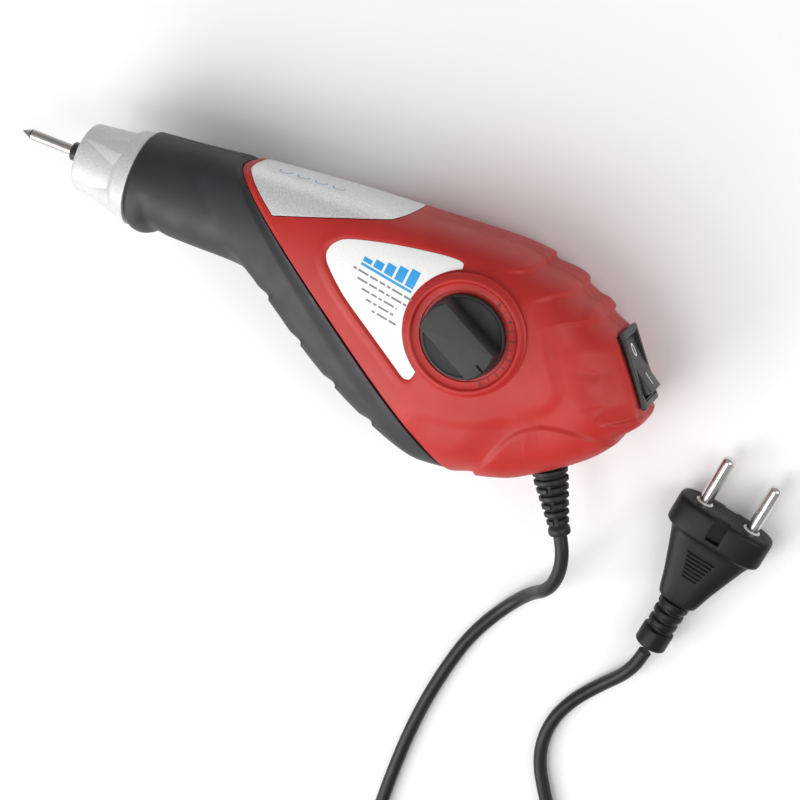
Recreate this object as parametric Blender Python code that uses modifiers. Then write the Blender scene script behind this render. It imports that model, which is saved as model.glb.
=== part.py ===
"""Electric engraving pen: magnet-coil drive, stroke dial, rear rocker switch, mains lead with plug.

The pen lies on its side.  +X runs from the needle to the rear, +Y to the metal panel on its back,
+Z up through the dial.  The two housing halves meet in the plane Z = SPLIT_Z.  Lengths are in mm.
"""
import math

import bmesh
import bpy
from mathutils import Matrix, Vector

MM = 0.001
GAP = 0.3                       # clearance between pieces that touch
SEAM = 0.15                     # half of the gap between the two housing halves
SPLIT_Z = 28.0                  # height of the seam plane above the table

# Needle line
NEEDLE_Y = 14.4
TIP_X = -124.6
NEEDLE_R = 1.9
TIP_LENGTH = 3.8
NOSE_FRONT_X = -101.5
NOSE_REAR_X = -74.3
NOSE_FRONT_R = 11.2
NOSE_RING_R = 15.9
NOSE_FLAT_R = 10.9              # distance of the four wrench flats from the needle line
NECK_R = 12.8                   # neck of the housing inside the nose cap
NECK_LENGTH = 7.0
PLUNGER_R = 3.6
CLAMP_SCREW_X = -88.5
SPRING_TURNS = 5
SPRING_FRONT_X, SPRING_REAR_X = -41.9, -30.7
SPRING_R, SPRING_WIRE_R = 5.2, 0.5

# Body skin: walls, overmould and panel
WALL = 2.2
GRIP_T = 2.0
GRIP_DEPTH = GRIP_T + GAP
PANEL_T = 1.2
PANEL_DEPTH = PANEL_T + GAP

# Side view outlines, nose to rear, of the back (top) and the belly (bottom) of the body
TOP_OUTLINE = [(-74.0, 30.1), (-60.0, 32.4), (-38.0, 36.0), (-20.0, 37.7), (0.0, 39.2), (25.0, 40.5),
               (50.0, 42.0), (64.0, 42.4), (76.0, 41.2), (87.0, 38.2), (97.0, 33.8), (106.0, 29.4)]
BELLY_OUTLINE = [(-74.0, -1.3), (-50.0, -1.2), (-28.0, -1.0), (-19.0, -3.6), (-10.0, -9.0), (3.0, -18.0),
                 (18.0, -28.0), (34.0, -35.8), (50.0, -41.3), (60.0, -42.4), (69.0, -41.2), (84.0, -36.4),
                 (94.0, -31.0), (112.0, -17.0), (121.0, -5.5), (124.9, 1.0), (124.4, 4.4)]
TOP_JOIN = 2                    # outline points where the overmould ends
BELLY_JOIN = 10
# Half thickness and roundness of the sections, by station (0 ring, 1 end of overmould, 2 rear face)
HALF_THICKNESS = [(0.0, 15.7), (0.3, 16.3), (0.5, 18.0), (0.75, 21.2), (1.0, 24.3), (1.25, 26.0),
                  (1.5, 26.0), (1.74, 24.6), (1.84, 22.0), (2.0, 13.8)]
ROUNDNESS = [(0.0, 2.0), (0.5, 2.3), (1.0, 2.9), (1.3, 3.6), (1.6, 4.0), (2.0, 4.0)]
LIP_HEIGHT = 2.6                # rolled lip at the belly side of the grip's front edge
LIP_END = 0.07

# Dial
DIAL_X, DIAL_Y = 60.6, 12.6
DIAL_SEAT_Z = 54.6              # top of the flat the knob turns on
DIAL_RING_R = 19.3
KNOB_R = 14.7
KNOB_HEIGHT = 9.6
DIAL_REST_DEG = -28.2
CAM_OFFSET = 0.8

# Rear face and rocker switch
FACE_TOP = Vector((106.0, 29.4))
FACE_BELLY = Vector((124.4, 4.4))
SWITCH_LENGTH = 27.4
SWITCH_WIDTH = 20.0
BEZEL_T = 1.6
SWITCH_CAN_X, SWITCH_CAN_Y = 12.2, 9.0
SWITCH_WELL_X, SWITCH_WELL_Y = 10.9, 7.0
PIVOT_DEPTH = 0.4               # rocker pivot, below the rear face
ROCKER_HALF_WIDTH = 6.6
ROCKER_REST_DEG = 12.0

# Magnet
CORE_FRONT_X = -9.5
CORE_REAR_X = 31.0
CORE_HALF_Y = 14.0
CORE_HALF_Z = 8.0
YOKE_T = 8.0                    # yoke behind the two windows
LEG_HALF_Y = 4.5                # half width of the middle leg
WINDOW_END_Y = 9.5
ARMATURE_FRONT_X, ARMATURE_REAR_X = -16.1, -12.6

# Cord exit, cord and plug
EXIT_X, EXIT_Y = 98.2, -28.2
EXIT_DIR = Vector((0.467, -0.884, 0.0)).normalized()
RELIEF_LENGTH = 25.0
CORD_R = 2.5
COIL_X, COIL_Y = 116.93, -220.0
COIL_R = 30.76
COIL_HALF_WIDTH = 12.8
COIL_BOTTOM, COIL_TOP = 0.9, 11.2
PLUG_FACE = Vector((160.8, -26.8, 9.3))
PLUG_HEADING_DEG = 80.0
PIN_PITCH = 19.0
PIN_R = 2.4
PIN_LENGTH = 19.0

# Route of the cord as arcs, each (length, change of heading, change of pitch), angles in degrees.  The
# lead's last two and the tail's last three run into the coil.
LEAD_START, LEAD_HEADING = (110.0, -50.6, 28.0), -62.15
LEAD_LEGS = [(2.0, 0.0, 0.0), (2.0, -4.8, 0.0), (25.6, -61.2, -43.1), (3.5, 0.0, -5.9), (2.6, 0.0, 0.0),
             (29.1, 8.0, 49.0), (20.0, 14.0, 0.0), (44.0, 12.0, 0.0), (28.0, 4.15, 0.0),
             (8.0, 0.0, 3.0), (8.0, 0.0, 0.0), (8.0, 0.0, -3.0)]
TAIL_START, TAIL_HEADING = (150.8, -83.4, 9.3), -100.0
TAIL_LEGS = [(3.0, 0.0, 0.0), (14.0, -22.0, -20.0), (5.3, -5.0, 0.0), (14.0, 0.0, 20.0),
             (12.0, 15.0, 0.0), (28.0, 50.0, 0.0), (25.0, 8.0, 0.0), (12.0, -9.0, 0.0),
             (12.0, -9.0, 0.0), (13.5, -8.0, 25.8), (13.5, -10.0, -25.8)]

# Fasteners and supports in the housing
CORE_SCREW_Y = 10.5
CORE_SCREWS = [(27.0, NEEDLE_Y - CORE_SCREW_Y), (27.0, NEEDLE_Y + CORE_SCREW_Y)]
HOUSING_SCREWS = [(38.0, 33.4), (4.5, -8.0), (62.0, 34.6), (62.0, -31.5), (110.6, -9.4)]
BOSS_R = 4.1
SINK_R = 3.4
PILOT_R = 1.7
CLEARANCE_R = 1.9
RIB_STATIONS_X = (-67.0, -54.0, -29.0)
REST_LANDS = [(DIAL_X, DIAL_Y, DIAL_RING_R), (24.0, 8.0, 8.0)]
CLAMP_ALONG = -14.5             # cord clamp, mm along the exit's axis
CLAMP_SCREW_SIDE = 5.6

PARTS = bpy.data.collections.new("engraving_pen")
CUTTERS = bpy.data.collections.new("cutters")
MATERIALS = {}


def clear_scene():
    for item in list(bpy.data.objects):
        bpy.data.objects.remove(item, do_unlink=True)
    for collection in (PARTS, CUTTERS):
        bpy.context.scene.collection.children.link(collection)


def material(name, colour, roughness, metallic=0.0):
    if name not in MATERIALS:
        made = bpy.data.materials.new(name)
        made.use_nodes = True
        shader = made.node_tree.nodes["Principled BSDF"]
        shader.inputs["Base Color"].default_value = (*colour, 1.0)
        shader.inputs["Roughness"].default_value = roughness
        shader.inputs["Metallic"].default_value = metallic
        MATERIALS[name] = made
    return MATERIALS[name]


def red_plastic():
    return material("red_plastic", (0.52, 0.035, 0.03), 0.42)


def black_rubber():
    return material("black_rubber", (0.035, 0.036, 0.045), 0.62)


def black_plastic():
    return material("black_plastic", (0.02, 0.02, 0.022), 0.38)


def silver_plastic():
    return material("silver_plastic", (0.55, 0.56, 0.58), 0.4, 0.75)


def steel():
    return material("steel", (0.62, 0.61, 0.6), 0.25, 1.0)


def copper():
    return material("copper", (0.6, 0.25, 0.1), 0.35, 1.0)


def iron():
    return material("iron", (0.2, 0.2, 0.22), 0.5, 0.9)


def pale_plastic():
    return material("pale_plastic", (0.8, 0.78, 0.7), 0.45)


def label_film():
    return material("label_film", (0.86, 0.86, 0.84), 0.35)


def brass():
    return material("brass", (0.7, 0.5, 0.22), 0.3, 1.0)


# ---------------------------------------------------------------- helpers

def place(item, look, cutter=False):
    """Puts an object in its collection and gives it its material."""
    for collection in list(item.users_collection):
        collection.objects.unlink(item)
    (CUTTERS if cutter else PARTS).objects.link(item)
    if cutter:
        item.hide_render = True
        item.display_type = "WIRE"
    elif look is not None:
        item.data.materials.clear()
        item.data.materials.append(look)
    return item


def from_bmesh(name, mesh_data, look, cutter=False):
    mesh = bpy.data.meshes.new(name)
    mesh_data.to_mesh(mesh)
    mesh_data.free()
    return place(bpy.data.objects.new(name, mesh), look, cutter)


def box(name, low, high, look, cutter=False, matrix=None):
    """Box between two corners, in the frame of the matrix."""
    shape = bmesh.new()
    size = [(high[i] - low[i]) * MM for i in range(3)]
    centre = Vector([(high[i] + low[i]) / 2 * MM for i in range(3)])
    bmesh.ops.create_cube(shape, size=1.0, matrix=Matrix.Translation(centre) @ Matrix.Diagonal((*size, 1.0)))
    item = from_bmesh(name, shape, look, cutter)
    if matrix is not None:
        item.matrix_world = matrix
    return item


def add_box(shape, low, high):
    size = [(high[i] - low[i]) * MM for i in range(3)]
    centre = Vector([(high[i] + low[i]) / 2 * MM for i in range(3)])
    bmesh.ops.create_cube(shape, size=1.0, matrix=Matrix.Translation(centre) @ Matrix.Diagonal((*size, 1.0)))


def add_rod(shape, start, end, radius, segments=24, end_radius=None):
    """Cylinder or cone between two points, added to a bmesh."""
    start, end = Vector(start) * MM, Vector(end) * MM
    turn = (end - start).to_track_quat("Z", "Y").to_matrix().to_4x4()
    bmesh.ops.create_cone(shape, cap_ends=True, segments=segments, radius1=radius * MM,
                          radius2=(radius if end_radius is None else end_radius) * MM,
                          depth=(end - start).length, matrix=Matrix.Translation((start + end) / 2) @ turn)


def rod(name, start, end, radius, look, segments=24, cutter=False, end_radius=None):
    shape = bmesh.new()
    add_rod(shape, start, end, radius, segments, end_radius)
    return from_bmesh(name, shape, look, cutter)


def axis_matrix(origin, axis):
    """Frame with its Z along an axis."""
    turn = Vector(axis).to_track_quat("Z", "Y").to_matrix().to_4x4()
    return Matrix.Translation(Vector(origin) * MM) @ turn


def turned(name, profile, matrix, look, segments=32, closed=False, cutter=False):
    """Profile of (radius, height) points, top to bottom down the outer side, turned about Z."""
    shape = bmesh.new()
    points = [shape.verts.new((radius * MM, 0.0, height * MM)) for radius, height in profile]
    for first, second in zip(points, points[1:]):
        shape.edges.new((first, second))
    if closed:
        shape.edges.new((points[-1], points[0]))
    item = from_bmesh(name, shape, look, cutter)
    screw = item.modifiers.new("turn", "SCREW")
    screw.steps = segments
    screw.render_steps = segments
    screw.use_merge_vertices = True
    screw.merge_threshold = 0.00001
    item.matrix_world = matrix
    return item


def as_mesh(item):
    """Curve object turned into a mesh with welded caps."""
    evaluated = item.evaluated_get(bpy.context.evaluated_depsgraph_get())
    mesh = bpy.data.meshes.new_from_object(evaluated)
    shape = bmesh.new()
    shape.from_mesh(mesh)
    bmesh.ops.remove_doubles(shape, verts=shape.verts, dist=0.000001)
    bmesh.ops.recalc_face_normals(shape, faces=shape.faces)
    shape.to_mesh(mesh)
    shape.free()
    made = bpy.data.objects.new(item.name + "_mesh", mesh)
    made.matrix_world = item.matrix_world
    name = item.name
    bpy.data.objects.remove(item, do_unlink=True)
    made.name = name
    return made


def plate(name, outline, low, high, look, cutter=False, matrix=None):
    """Flat outline in XY, as thick as from low to high in Z."""
    curve = bpy.data.curves.new(name, "CURVE")
    curve.dimensions = "2D"
    curve.fill_mode = "BOTH"
    curve.extrude = (high - low) / 2 * MM
    spline = curve.splines.new("POLY")
    spline.points.add(len(outline) - 1)
    for point, (x, y) in zip(spline.points, outline):
        point.co = (x * MM, y * MM, 0.0, 1.0)
    spline.use_cyclic_u = True
    item = bpy.data.objects.new(name, curve)
    bpy.context.scene.collection.objects.link(item)
    lift = Matrix.Translation((0.0, 0.0, (high + low) / 2 * MM))
    item.matrix_world = lift if matrix is None else matrix @ lift
    bpy.context.view_layer.update()
    made = as_mesh(item)
    return place(made, look, cutter)


def tube(name, points, radius, look, resolution=2):
    curve = bpy.data.curves.new(name, "CURVE")
    curve.dimensions = "3D"
    curve.bevel_depth = radius * MM
    curve.bevel_resolution = resolution
    curve.use_fill_caps = True
    spline = curve.splines.new("POLY")
    spline.points.add(len(points) - 1)
    for point, place_mm in zip(spline.points, points):
        point.co = (*(Vector(place_mm) * MM), 1.0)
    return place(bpy.data.objects.new(name, curve), look)


def boolean(item, other, operation="DIFFERENCE"):
    step = item.modifiers.new(operation.lower() + "_" + other.name, "BOOLEAN")
    step.object = other
    step.operation = operation


def bevel(item, width, segments=2, angle=40.0):
    step = item.modifiers.new("edges", "BEVEL")
    step.width = width * MM
    step.segments = segments
    step.limit_method = "ANGLE"
    step.angle_limit = math.radians(angle)


def set_origin(item, origin):
    """Moves an object's origin to a point without moving its shape."""
    target = Vector(origin) * MM
    item.data.transform(Matrix.Translation(-target))
    item.location = target


def arc(centre, radius, start_deg, end_deg, count):
    """Points along an arc, both ends included."""
    steps = [math.radians(start_deg + (end_deg - start_deg) * i / (count - 1)) for i in range(count)]
    return [(centre[0] + radius * math.cos(a), centre[1] + radius * math.sin(a)) for a in steps]


def table_value(table, x):
    """Smooth curve through a table of (x, value) points."""
    if x <= table[0][0]:
        return table[0][1]
    if x >= table[-1][0]:
        return table[-1][1]
    i = max(k for k in range(len(table) - 1) if table[k][0] <= x)
    (x0, y0), (x1, y1) = table[i], table[i + 1]

    def slope(k):
        low, high = max(k - 1, 0), min(k + 1, len(table) - 1)
        return (table[high][1] - table[low][1]) / (table[high][0] - table[low][0])

    t = (x - x0) / (x1 - x0)
    width = x1 - x0
    return ((2 * t**3 - 3 * t**2 + 1) * y0 + (t**3 - 2 * t**2 + t) * width * slope(i)
            + (3 * t**2 - 2 * t**3) * y1 + (t**3 - t**2) * width * slope(i + 1))


def smooth_curve(points, steps):
    """Catmull-Rom curve through points, as a dense list."""
    places = [Vector(p) for p in points]
    ends = [places[0] * 2 - places[1]] + places + [places[-1] * 2 - places[-2]]
    dense = []
    for i in range(len(places) - 1):
        a, b, c, d = ends[i:i + 4]
        for k in range(steps):
            t = k / steps
            dense.append(0.5 * (2 * b + (c - a) * t + (2 * a - 5 * b + 4 * c - d) * t**2
                                + (3 * b - a - 3 * c + d) * t**3))
    dense.append(places[-1])
    return dense


def walk(dense, count):
    """Evenly spaced points along a dense list."""
    lengths = [0.0]
    for first, second in zip(dense, dense[1:]):
        lengths.append(lengths[-1] + (second - first).length)
    result = []
    k = 0
    for i in range(count):
        goal = lengths[-1] * i / (count - 1)
        while k < len(dense) - 2 and lengths[k + 1] < goal:
            k += 1
        step = lengths[k + 1] - lengths[k]
        result.append(dense[k].lerp(dense[k + 1], (goal - lengths[k]) / step))
    return result


# ---------------------------------------------------------------- body skin

class Outline:
    """One long edge of the body's side view, read by station from 0 (ring) to 2 (rear face)."""

    def __init__(self, points, join):
        self.front = walk(smooth_curve([(x, y, 0.0) for x, y in points], 24)[:join * 24 + 1], 161)
        self.rear = walk(smooth_curve([(x, y, 0.0) for x, y in points], 24)[join * 24:], 161)

    def at(self, station):
        if station < 0.0:
            return self.front[0] + Vector((NECK_LENGTH * station, 0.0, 0.0))
        line, part = (self.front, station) if station <= 1.0 else (self.rear, station - 1.0)
        place_on = min(part, 1.0) * (len(line) - 1)
        k = min(int(place_on), len(line) - 2)
        return line[k].lerp(line[k + 1], place_on - k)


TOP = Outline(TOP_OUTLINE, TOP_JOIN)
BELLY = Outline(BELLY_OUTLINE, BELLY_JOIN)


def raw_skin(station, angle):
    """Point of the upper half's outer surface, measured from the seam plane."""
    top, belly = TOP.at(station), BELLY.at(station)
    power = 2.0 / table_value(ROUNDNESS, station)
    cosine, sine = math.cos(angle), max(math.sin(angle), 0.0)
    across = math.copysign(abs(cosine) ** power, cosine)
    centre, half = (top + belly) / 2, (top - belly) / 2
    spot = centre + half * across
    spot.z = table_value(HALF_THICKNESS, station) * sine ** power
    return spot


def skin(station, angle, depth, side=1):
    """Point of the skin at a depth below the outer surface."""
    safe = min(max(angle, 0.06), math.pi - 0.06)
    near, far = max(station - 0.004, -1.0), min(station + 0.004, 2.0)
    along = raw_skin(far, safe) - raw_skin(near, safe)
    across = raw_skin(station, safe + 0.01) - raw_skin(station, safe - 0.01)
    normal = across.cross(along).normalized()
    if normal.z < 0:
        normal = -normal
    if angle < 0.03 or angle > math.pi - 0.03:
        normal.z = 0.0
        normal.normalize()
    spot = raw_skin(station, angle) - normal * depth
    return Vector((spot.x, spot.y, SPLIT_Z + side * (SEAM + max(spot.z, 0.0))))


def grip_lip(station, angle):
    """Height of the rolled lip over the grip's front edge, on the belly side."""
    if station >= LIP_END:
        return 0.0
    around = max(0.0, -math.cos(angle)) ** 1.2
    return LIP_HEIGHT * around * math.sin(math.pi * (0.12 + 0.88 * station / LIP_END))


def half_loft(name, stations, outer, inner, side, look, rear_cap=False, solid=False, cutter=False, rings=14):
    """Closed half body between two depths of the skin, or a solid one below the outer depth."""
    shape = bmesh.new()
    angles = [math.pi * i / rings for i in range(rings + 1)]
    face_normal = Vector((FACE_TOP.y - FACE_BELLY.y, FACE_BELLY.x - FACE_TOP.x, 0.0)).normalized()

    def grid(depth_at, inward):
        rows = []
        for station in stations:
            row = []
            for angle in angles:
                spot = skin(station, angle, depth_at(station, angle), side)
                if rear_cap and inward and station == stations[-1]:
                    spot = spot - face_normal * WALL
                row.append(shape.verts.new(spot * MM))
            rows.append(row)
        return rows

    def quads(rows, flip):
        for first, second in zip(rows, rows[1:]):
            for i in range(rings):
                loop = [first[i], first[i + 1], second[i + 1], second[i]]
                shape.faces.new(loop[::-1] if flip else loop)

    out = grid(outer, False)
    quads(out, side > 0)
    if solid:
        shape.faces.new(out[0])
        shape.faces.new(out[-1])
        shape.faces.new([row[0] for row in out] + [row[-1] for row in reversed(out)])
    else:
        inside = grid(inner, True)
        quads(inside, side < 0)
        for first, second in zip(zip(out, inside), zip(out[1:], inside[1:])):
            for end in (0, -1):
                shape.faces.new([first[0][end], second[0][end], second[1][end], first[1][end]])
        for i in range(rings):
            shape.faces.new([out[0][i], out[0][i + 1], inside[0][i + 1], inside[0][i]])
        if rear_cap:
            shape.faces.new(out[-1])
            shape.faces.new(inside[-1])
            shape.faces.new([out[-1][0], inside[-1][0], inside[-1][-1], out[-1][-1]])
        else:
            for i in range(rings):
                shape.faces.new([out[-1][i], out[-1][i + 1], inside[-1][i + 1], inside[-1][i]])
    bmesh.ops.triangulate(shape, faces=[f for f in shape.faces if len(f.verts) > 4])
    bmesh.ops.recalc_face_normals(shape, faces=shape.faces)
    return from_bmesh(name, shape, look, cutter)


def stations_between(low, high, count):
    return [low + (high - low) * i / (count - 1) for i in range(count)]


NECK_STATIONS = [-1.0, -0.02]
GRIP_STATIONS = [0.0, 0.02, 0.045, 0.07] + stations_between(0.13, 0.985, 11)
REAR_STATIONS = stations_between(1.0, 2.0, 14)


def housing_depth(station, angle):
    """Depth of the housing's outer face: a neck at the front, a bed for the overmould, then flush."""
    if station < 0.0:
        return HALF_THICKNESS[0][1] - NECK_R
    return GRIP_DEPTH if station < 0.99 else 0.0


def housing_inner_depth(station, angle):
    """Depth of the housing's inner face, which thins out smoothly behind the overmould."""
    if station < 0.0:
        return HALF_THICKNESS[0][1] - NECK_R + WALL
    blend = min(max((station - 0.85) / 0.3, 0.0), 1.0)
    return WALL + GRIP_DEPTH * (1.0 - blend)


# ---------------------------------------------------------------- housing

def add_structure(shape, side):
    """Screw bosses, ribs and saddles of one half, from the seam to beyond the wall."""
    seam = SPLIT_Z + side * SEAM
    far = SPLIT_Z + side * 40.0
    low, high = min(seam, far), max(seam, far)
    for x, y in HOUSING_SCREWS:
        add_rod(shape, (x, y, low), (x, y, high), BOSS_R, 16)
    for x in RIB_STATIONS_X:
        add_box(shape, (x - 0.9, -45.0, low), (x + 0.9, 45.0, high))
    rest = SPLIT_Z + side * (CORE_HALF_Z + GAP)
    low, high = min(rest, far), max(rest, far)
    for x, y in CORE_SCREWS:
        add_box(shape, (x - 3.8, y - 4.0, low), (x + 4.5, y + 4.0, high))


def housing_half(name, side):
    stations = NECK_STATIONS + GRIP_STATIONS[1:] + [1.004] + REAR_STATIONS[1:]
    shell = half_loft(name, stations, housing_depth, housing_inner_depth, side, red_plastic(), rear_cap=True)
    inner = half_loft(name + "_inside", stations_between(-0.05, 1.985, 26),
                      lambda s, a: housing_inner_depth(s, a) - WALL * 0.4, None, side, None,
                      solid=True, cutter=True)
    shape = bmesh.new()
    add_structure(shape, side)
    structure = from_bmesh(name + "_structure", shape, None, cutter=True)
    boolean(structure, inner, "INTERSECT")
    boolean(shell, structure, "UNION")
    return shell


def make_housing_upper(common):
    upper = housing_half("housing_upper", 1)
    skirt_r = DIAL_RING_R - 1.4
    ring = turned("dial_ring", [(DIAL_RING_R - 1.2, 55.9), (DIAL_RING_R, 55.2), (DIAL_RING_R + 0.6, 51.2),
                                (DIAL_RING_R + 0.8, 47.0), (skirt_r, 47.0), (skirt_r, 51.2), (4.5, 51.2),
                                (4.5, DIAL_SEAT_Z - GAP), (KNOB_R + 1.4, DIAL_SEAT_Z - GAP),
                                (KNOB_R + 2.2, 55.9)],
                  axis_matrix((DIAL_X, DIAL_Y, 0.0), (0, 0, 1)), None, 36, closed=True, cutter=True)
    boolean(upper, ring, "UNION")
    shape = bmesh.new()
    add_rod(shape, (DIAL_X, DIAL_Y, DIAL_SEAT_Z - GAP), (DIAL_X, DIAL_Y, 70.0), KNOB_R + 0.9, 40)
    seat = from_bmesh("dial_seat_cut", shape, None, cutter=True)
    boolean(upper, seat)
    shape = bmesh.new()
    add_rod(shape, (DIAL_X, DIAL_Y, 45.0), (DIAL_X, DIAL_Y, 60.0), 3.6, 24)
    for x, y in HOUSING_SCREWS:
        add_rod(shape, (x, y, 20.0), (x, y, 40.5), PILOT_R, 12)
    for x, y in CORE_SCREWS:
        add_rod(shape, (x, y, 20.0), (x, y, 42.0), SINK_R, 16)
    holes = from_bmesh("upper_holes", shape, None, cutter=True)
    boolean(upper, holes)
    for cutter in common:
        boolean(upper, cutter)
    return upper


def make_housing_lower(common):
    lower = housing_half("housing_lower", -1)
    for index, (x, y, radius) in enumerate(REST_LANDS):
        land = turned("rest_land_%d" % index, [(radius - 0.6, 5.0), (radius + 0.4, 5.0), (radius + 0.2, 0.6),
                                               (radius - 0.5, 0.0), (radius - 3.0, 0.0),
                                               (radius - 3.4, 5.0)],
                      axis_matrix((x, y, 0.0), (0, 0, 1)), None, 28, closed=True, cutter=True)
        boolean(lower, land, "UNION")
    shape = bmesh.new()
    for x, y in HOUSING_SCREWS:
        add_rod(shape, (x, y, -5.0), (x, y, 16.0), SINK_R, 16)
    sinks = from_bmesh("screw_sinks", shape, None, cutter=True)
    boolean(lower, sinks)
    shape = bmesh.new()
    for x, y in HOUSING_SCREWS + CORE_SCREWS:
        add_rod(shape, (x, y, 12.0), (x, y, 35.0), CLEARANCE_R, 12)
    holes = from_bmesh("lower_holes", shape, None, cutter=True)
    boolean(lower, holes)
    for cutter in common:
        boolean(lower, cutter)
    return lower


def make_common_cutters():
    """Cut-outs that both halves share: switch window, cord exit, guide and plunger saddles, panel."""
    window = box("switch_window", (-SWITCH_CAN_X - 0.4, -SWITCH_CAN_Y - 0.35, -6.0),
                 (SWITCH_CAN_X + 0.4, SWITCH_CAN_Y + 0.35, 4.0), None, True, face_matrix())
    exit_hole = rod("exit_hole", exit_point(-9.0), exit_point(6.0), 5.1, None, 24, True)
    shape = bmesh.new()
    add_rod(shape, (-70.5, NEEDLE_Y, SPLIT_Z), (-50.0, NEEDLE_Y, SPLIT_Z), 6.8, 32)
    guide = from_bmesh("guide_saddle", shape, None, True)
    rib_hole = rod("rib_hole", (-31.0, NEEDLE_Y, SPLIT_Z), (-27.0, NEEDLE_Y, SPLIT_Z), 4.3, None, 24, True)
    return [window, exit_hole, guide, rib_hole]


def panel_outline(spread):
    """Side view of the metal panel, larger by spread."""
    return [(-40.0 - spread, 60.0), (-33.6 - spread, 35.5), (-18.2 - spread * 0.6, 25.6 - spread),
            (7.0, 34.0 - spread), (22.0, 38.6 - spread), (28.0 + spread, 42.0), (32.0 + spread, 60.0)]


def panel_shell(name, outer, inner, spread, look, cutter):
    """Curved skin over the back, both sides of the seam, trimmed to the panel's side view."""
    shape = bmesh.new()
    reach = [math.radians(a) for a in (54, 45, 36, 27, 18, 9)]
    spots = [(a, 1) for a in reach] + [(0.0, 0)] + [(a, -1) for a in reversed(reach)]
    rows = {}
    for depth in (outer, inner):
        rows[depth] = []
        for station in stations_between(0.93, 1.5, 12):
            row = []
            for angle, side in spots:
                spot = skin(station, angle, depth, side if side else 1)
                if side == 0:
                    spot.z = SPLIT_Z
                row.append(shape.verts.new(spot * MM))
            rows[depth].append(row)
    for depth in (outer, inner):
        for first, second in zip(rows[depth], rows[depth][1:]):
            for i in range(len(spots) - 1):
                shape.faces.new([first[i], first[i + 1], second[i + 1], second[i]])
    out, inside = rows[outer], rows[inner]
    for first, second, low, high in zip(out, out[1:], inside, inside[1:]):
        for end in (0, -1):
            shape.faces.new([first[end], second[end], high[end], low[end]])
    for end in (0, -1):
        for i in range(len(spots) - 1):
            shape.faces.new([out[end][i], out[end][i + 1], inside[end][i + 1], inside[end][i]])
    bmesh.ops.recalc_face_normals(shape, faces=shape.faces)
    item = from_bmesh(name, shape, look, cutter)
    trim = plate(name + "_trim", panel_outline(spread), -10.0, 70.0, None, True)
    boolean(item, trim, "INTERSECT")
    return item


def make_grip(name, side):
    return half_loft(name, GRIP_STATIONS, lambda s, a: -grip_lip(s, a), lambda s, a: GRIP_T, side,
                     black_rubber())


def make_housing():
    common = make_common_cutters()
    common.append(panel_shell("panel_bed", -4.0, PANEL_DEPTH, GAP, None, True))
    make_housing_upper(common)
    make_housing_lower(common)
    make_grip("grip_upper", 1)
    make_grip("grip_lower", -1)
    panel_shell("back_panel", 0.0, PANEL_T, 0.0, silver_plastic(), False)


def label_outline():
    """Boomerang field that wraps the dial ring."""
    ring = arc((DIAL_X, DIAL_Y), DIAL_RING_R + 3.0, 112.0, 236.0, 14)
    return ring + [(47.2, -8.9), (45.9, -9.7), (44.0, -9.4), (39.0, -6.0), (27.7, 1.6), (16.5, 9.2),
                   (9.2, 15.6), (6.0, 19.4), (5.6, 22.6), (7.4, 25.8), (12.0, 28.6), (26.3, 32.2),
                   (43.1, 34.9), (51.0, 35.2)]


def make_rating_label():
    """Printed film on the flank: a patch of the skin, just proud of it."""
    film = half_loft("rating_label", stations_between(1.005, 1.78, 16), lambda s, a: -0.55,
                     lambda s, a: -GAP, 1, label_film())
    boolean(film, plate("label_trim", label_outline(), 30.0, 70.0, None, True), "INTERSECT")


# ---------------------------------------------------------------- nose and needle unit

def make_nose_cap():
    """Screwed cap with a bore for the needle, a seat for the neck and four wrench flats."""
    length = NOSE_REAR_X - NOSE_FRONT_X
    bore, seat = 3.2, NECK_R + 0.4
    outside = [(bore, length), (NOSE_FRONT_R - 1.5, length), (NOSE_FRONT_R, length - 1.3), (13.9, 9.3),
               (NOSE_RING_R - 0.5, 5.6), (NOSE_RING_R, 4.6), (NOSE_RING_R, 0.4), (NOSE_RING_R - 0.4, 0.0)]
    inside = [(seat, 0.0), (seat, 7.6), (9.2, 8.6), (8.6, length - 2.8), (bore, length - 2.8)]
    frame = axis_matrix((NOSE_REAR_X, NEEDLE_Y, SPLIT_Z), (-1, 0, 0))
    cap = turned("nose_cap", outside + inside, frame, silver_plastic(), 36, closed=True)
    for index in range(4):
        turn = Matrix.Rotation(math.radians(90.0 * index), 4, "Z")
        boolean(cap, box("wrench_flat_%d" % index, (NOSE_FLAT_R, -7.6, 9.5), (20.0, 7.6, 40.0), None, True,
                         frame @ turn))


def needle_point(x, height=0.0):
    """Point on the needle line, or above it."""
    return (x, NEEDLE_Y, SPLIT_Z + height)


def make_needle():
    shoulder = TIP_X + TIP_LENGTH
    shank = rod("needle_shank", needle_point(shoulder + GAP), needle_point(-84.0), NEEDLE_R, steel(), 20)
    tip = rod("carbide_tip", needle_point(shoulder), needle_point(TIP_X), NEEDLE_R,
              material("carbide", (0.33, 0.32, 0.31), 0.3, 1.0), 20, end_radius=0.12)
    for piece in (shank, tip):
        set_origin(piece, needle_point(shoulder))


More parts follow.
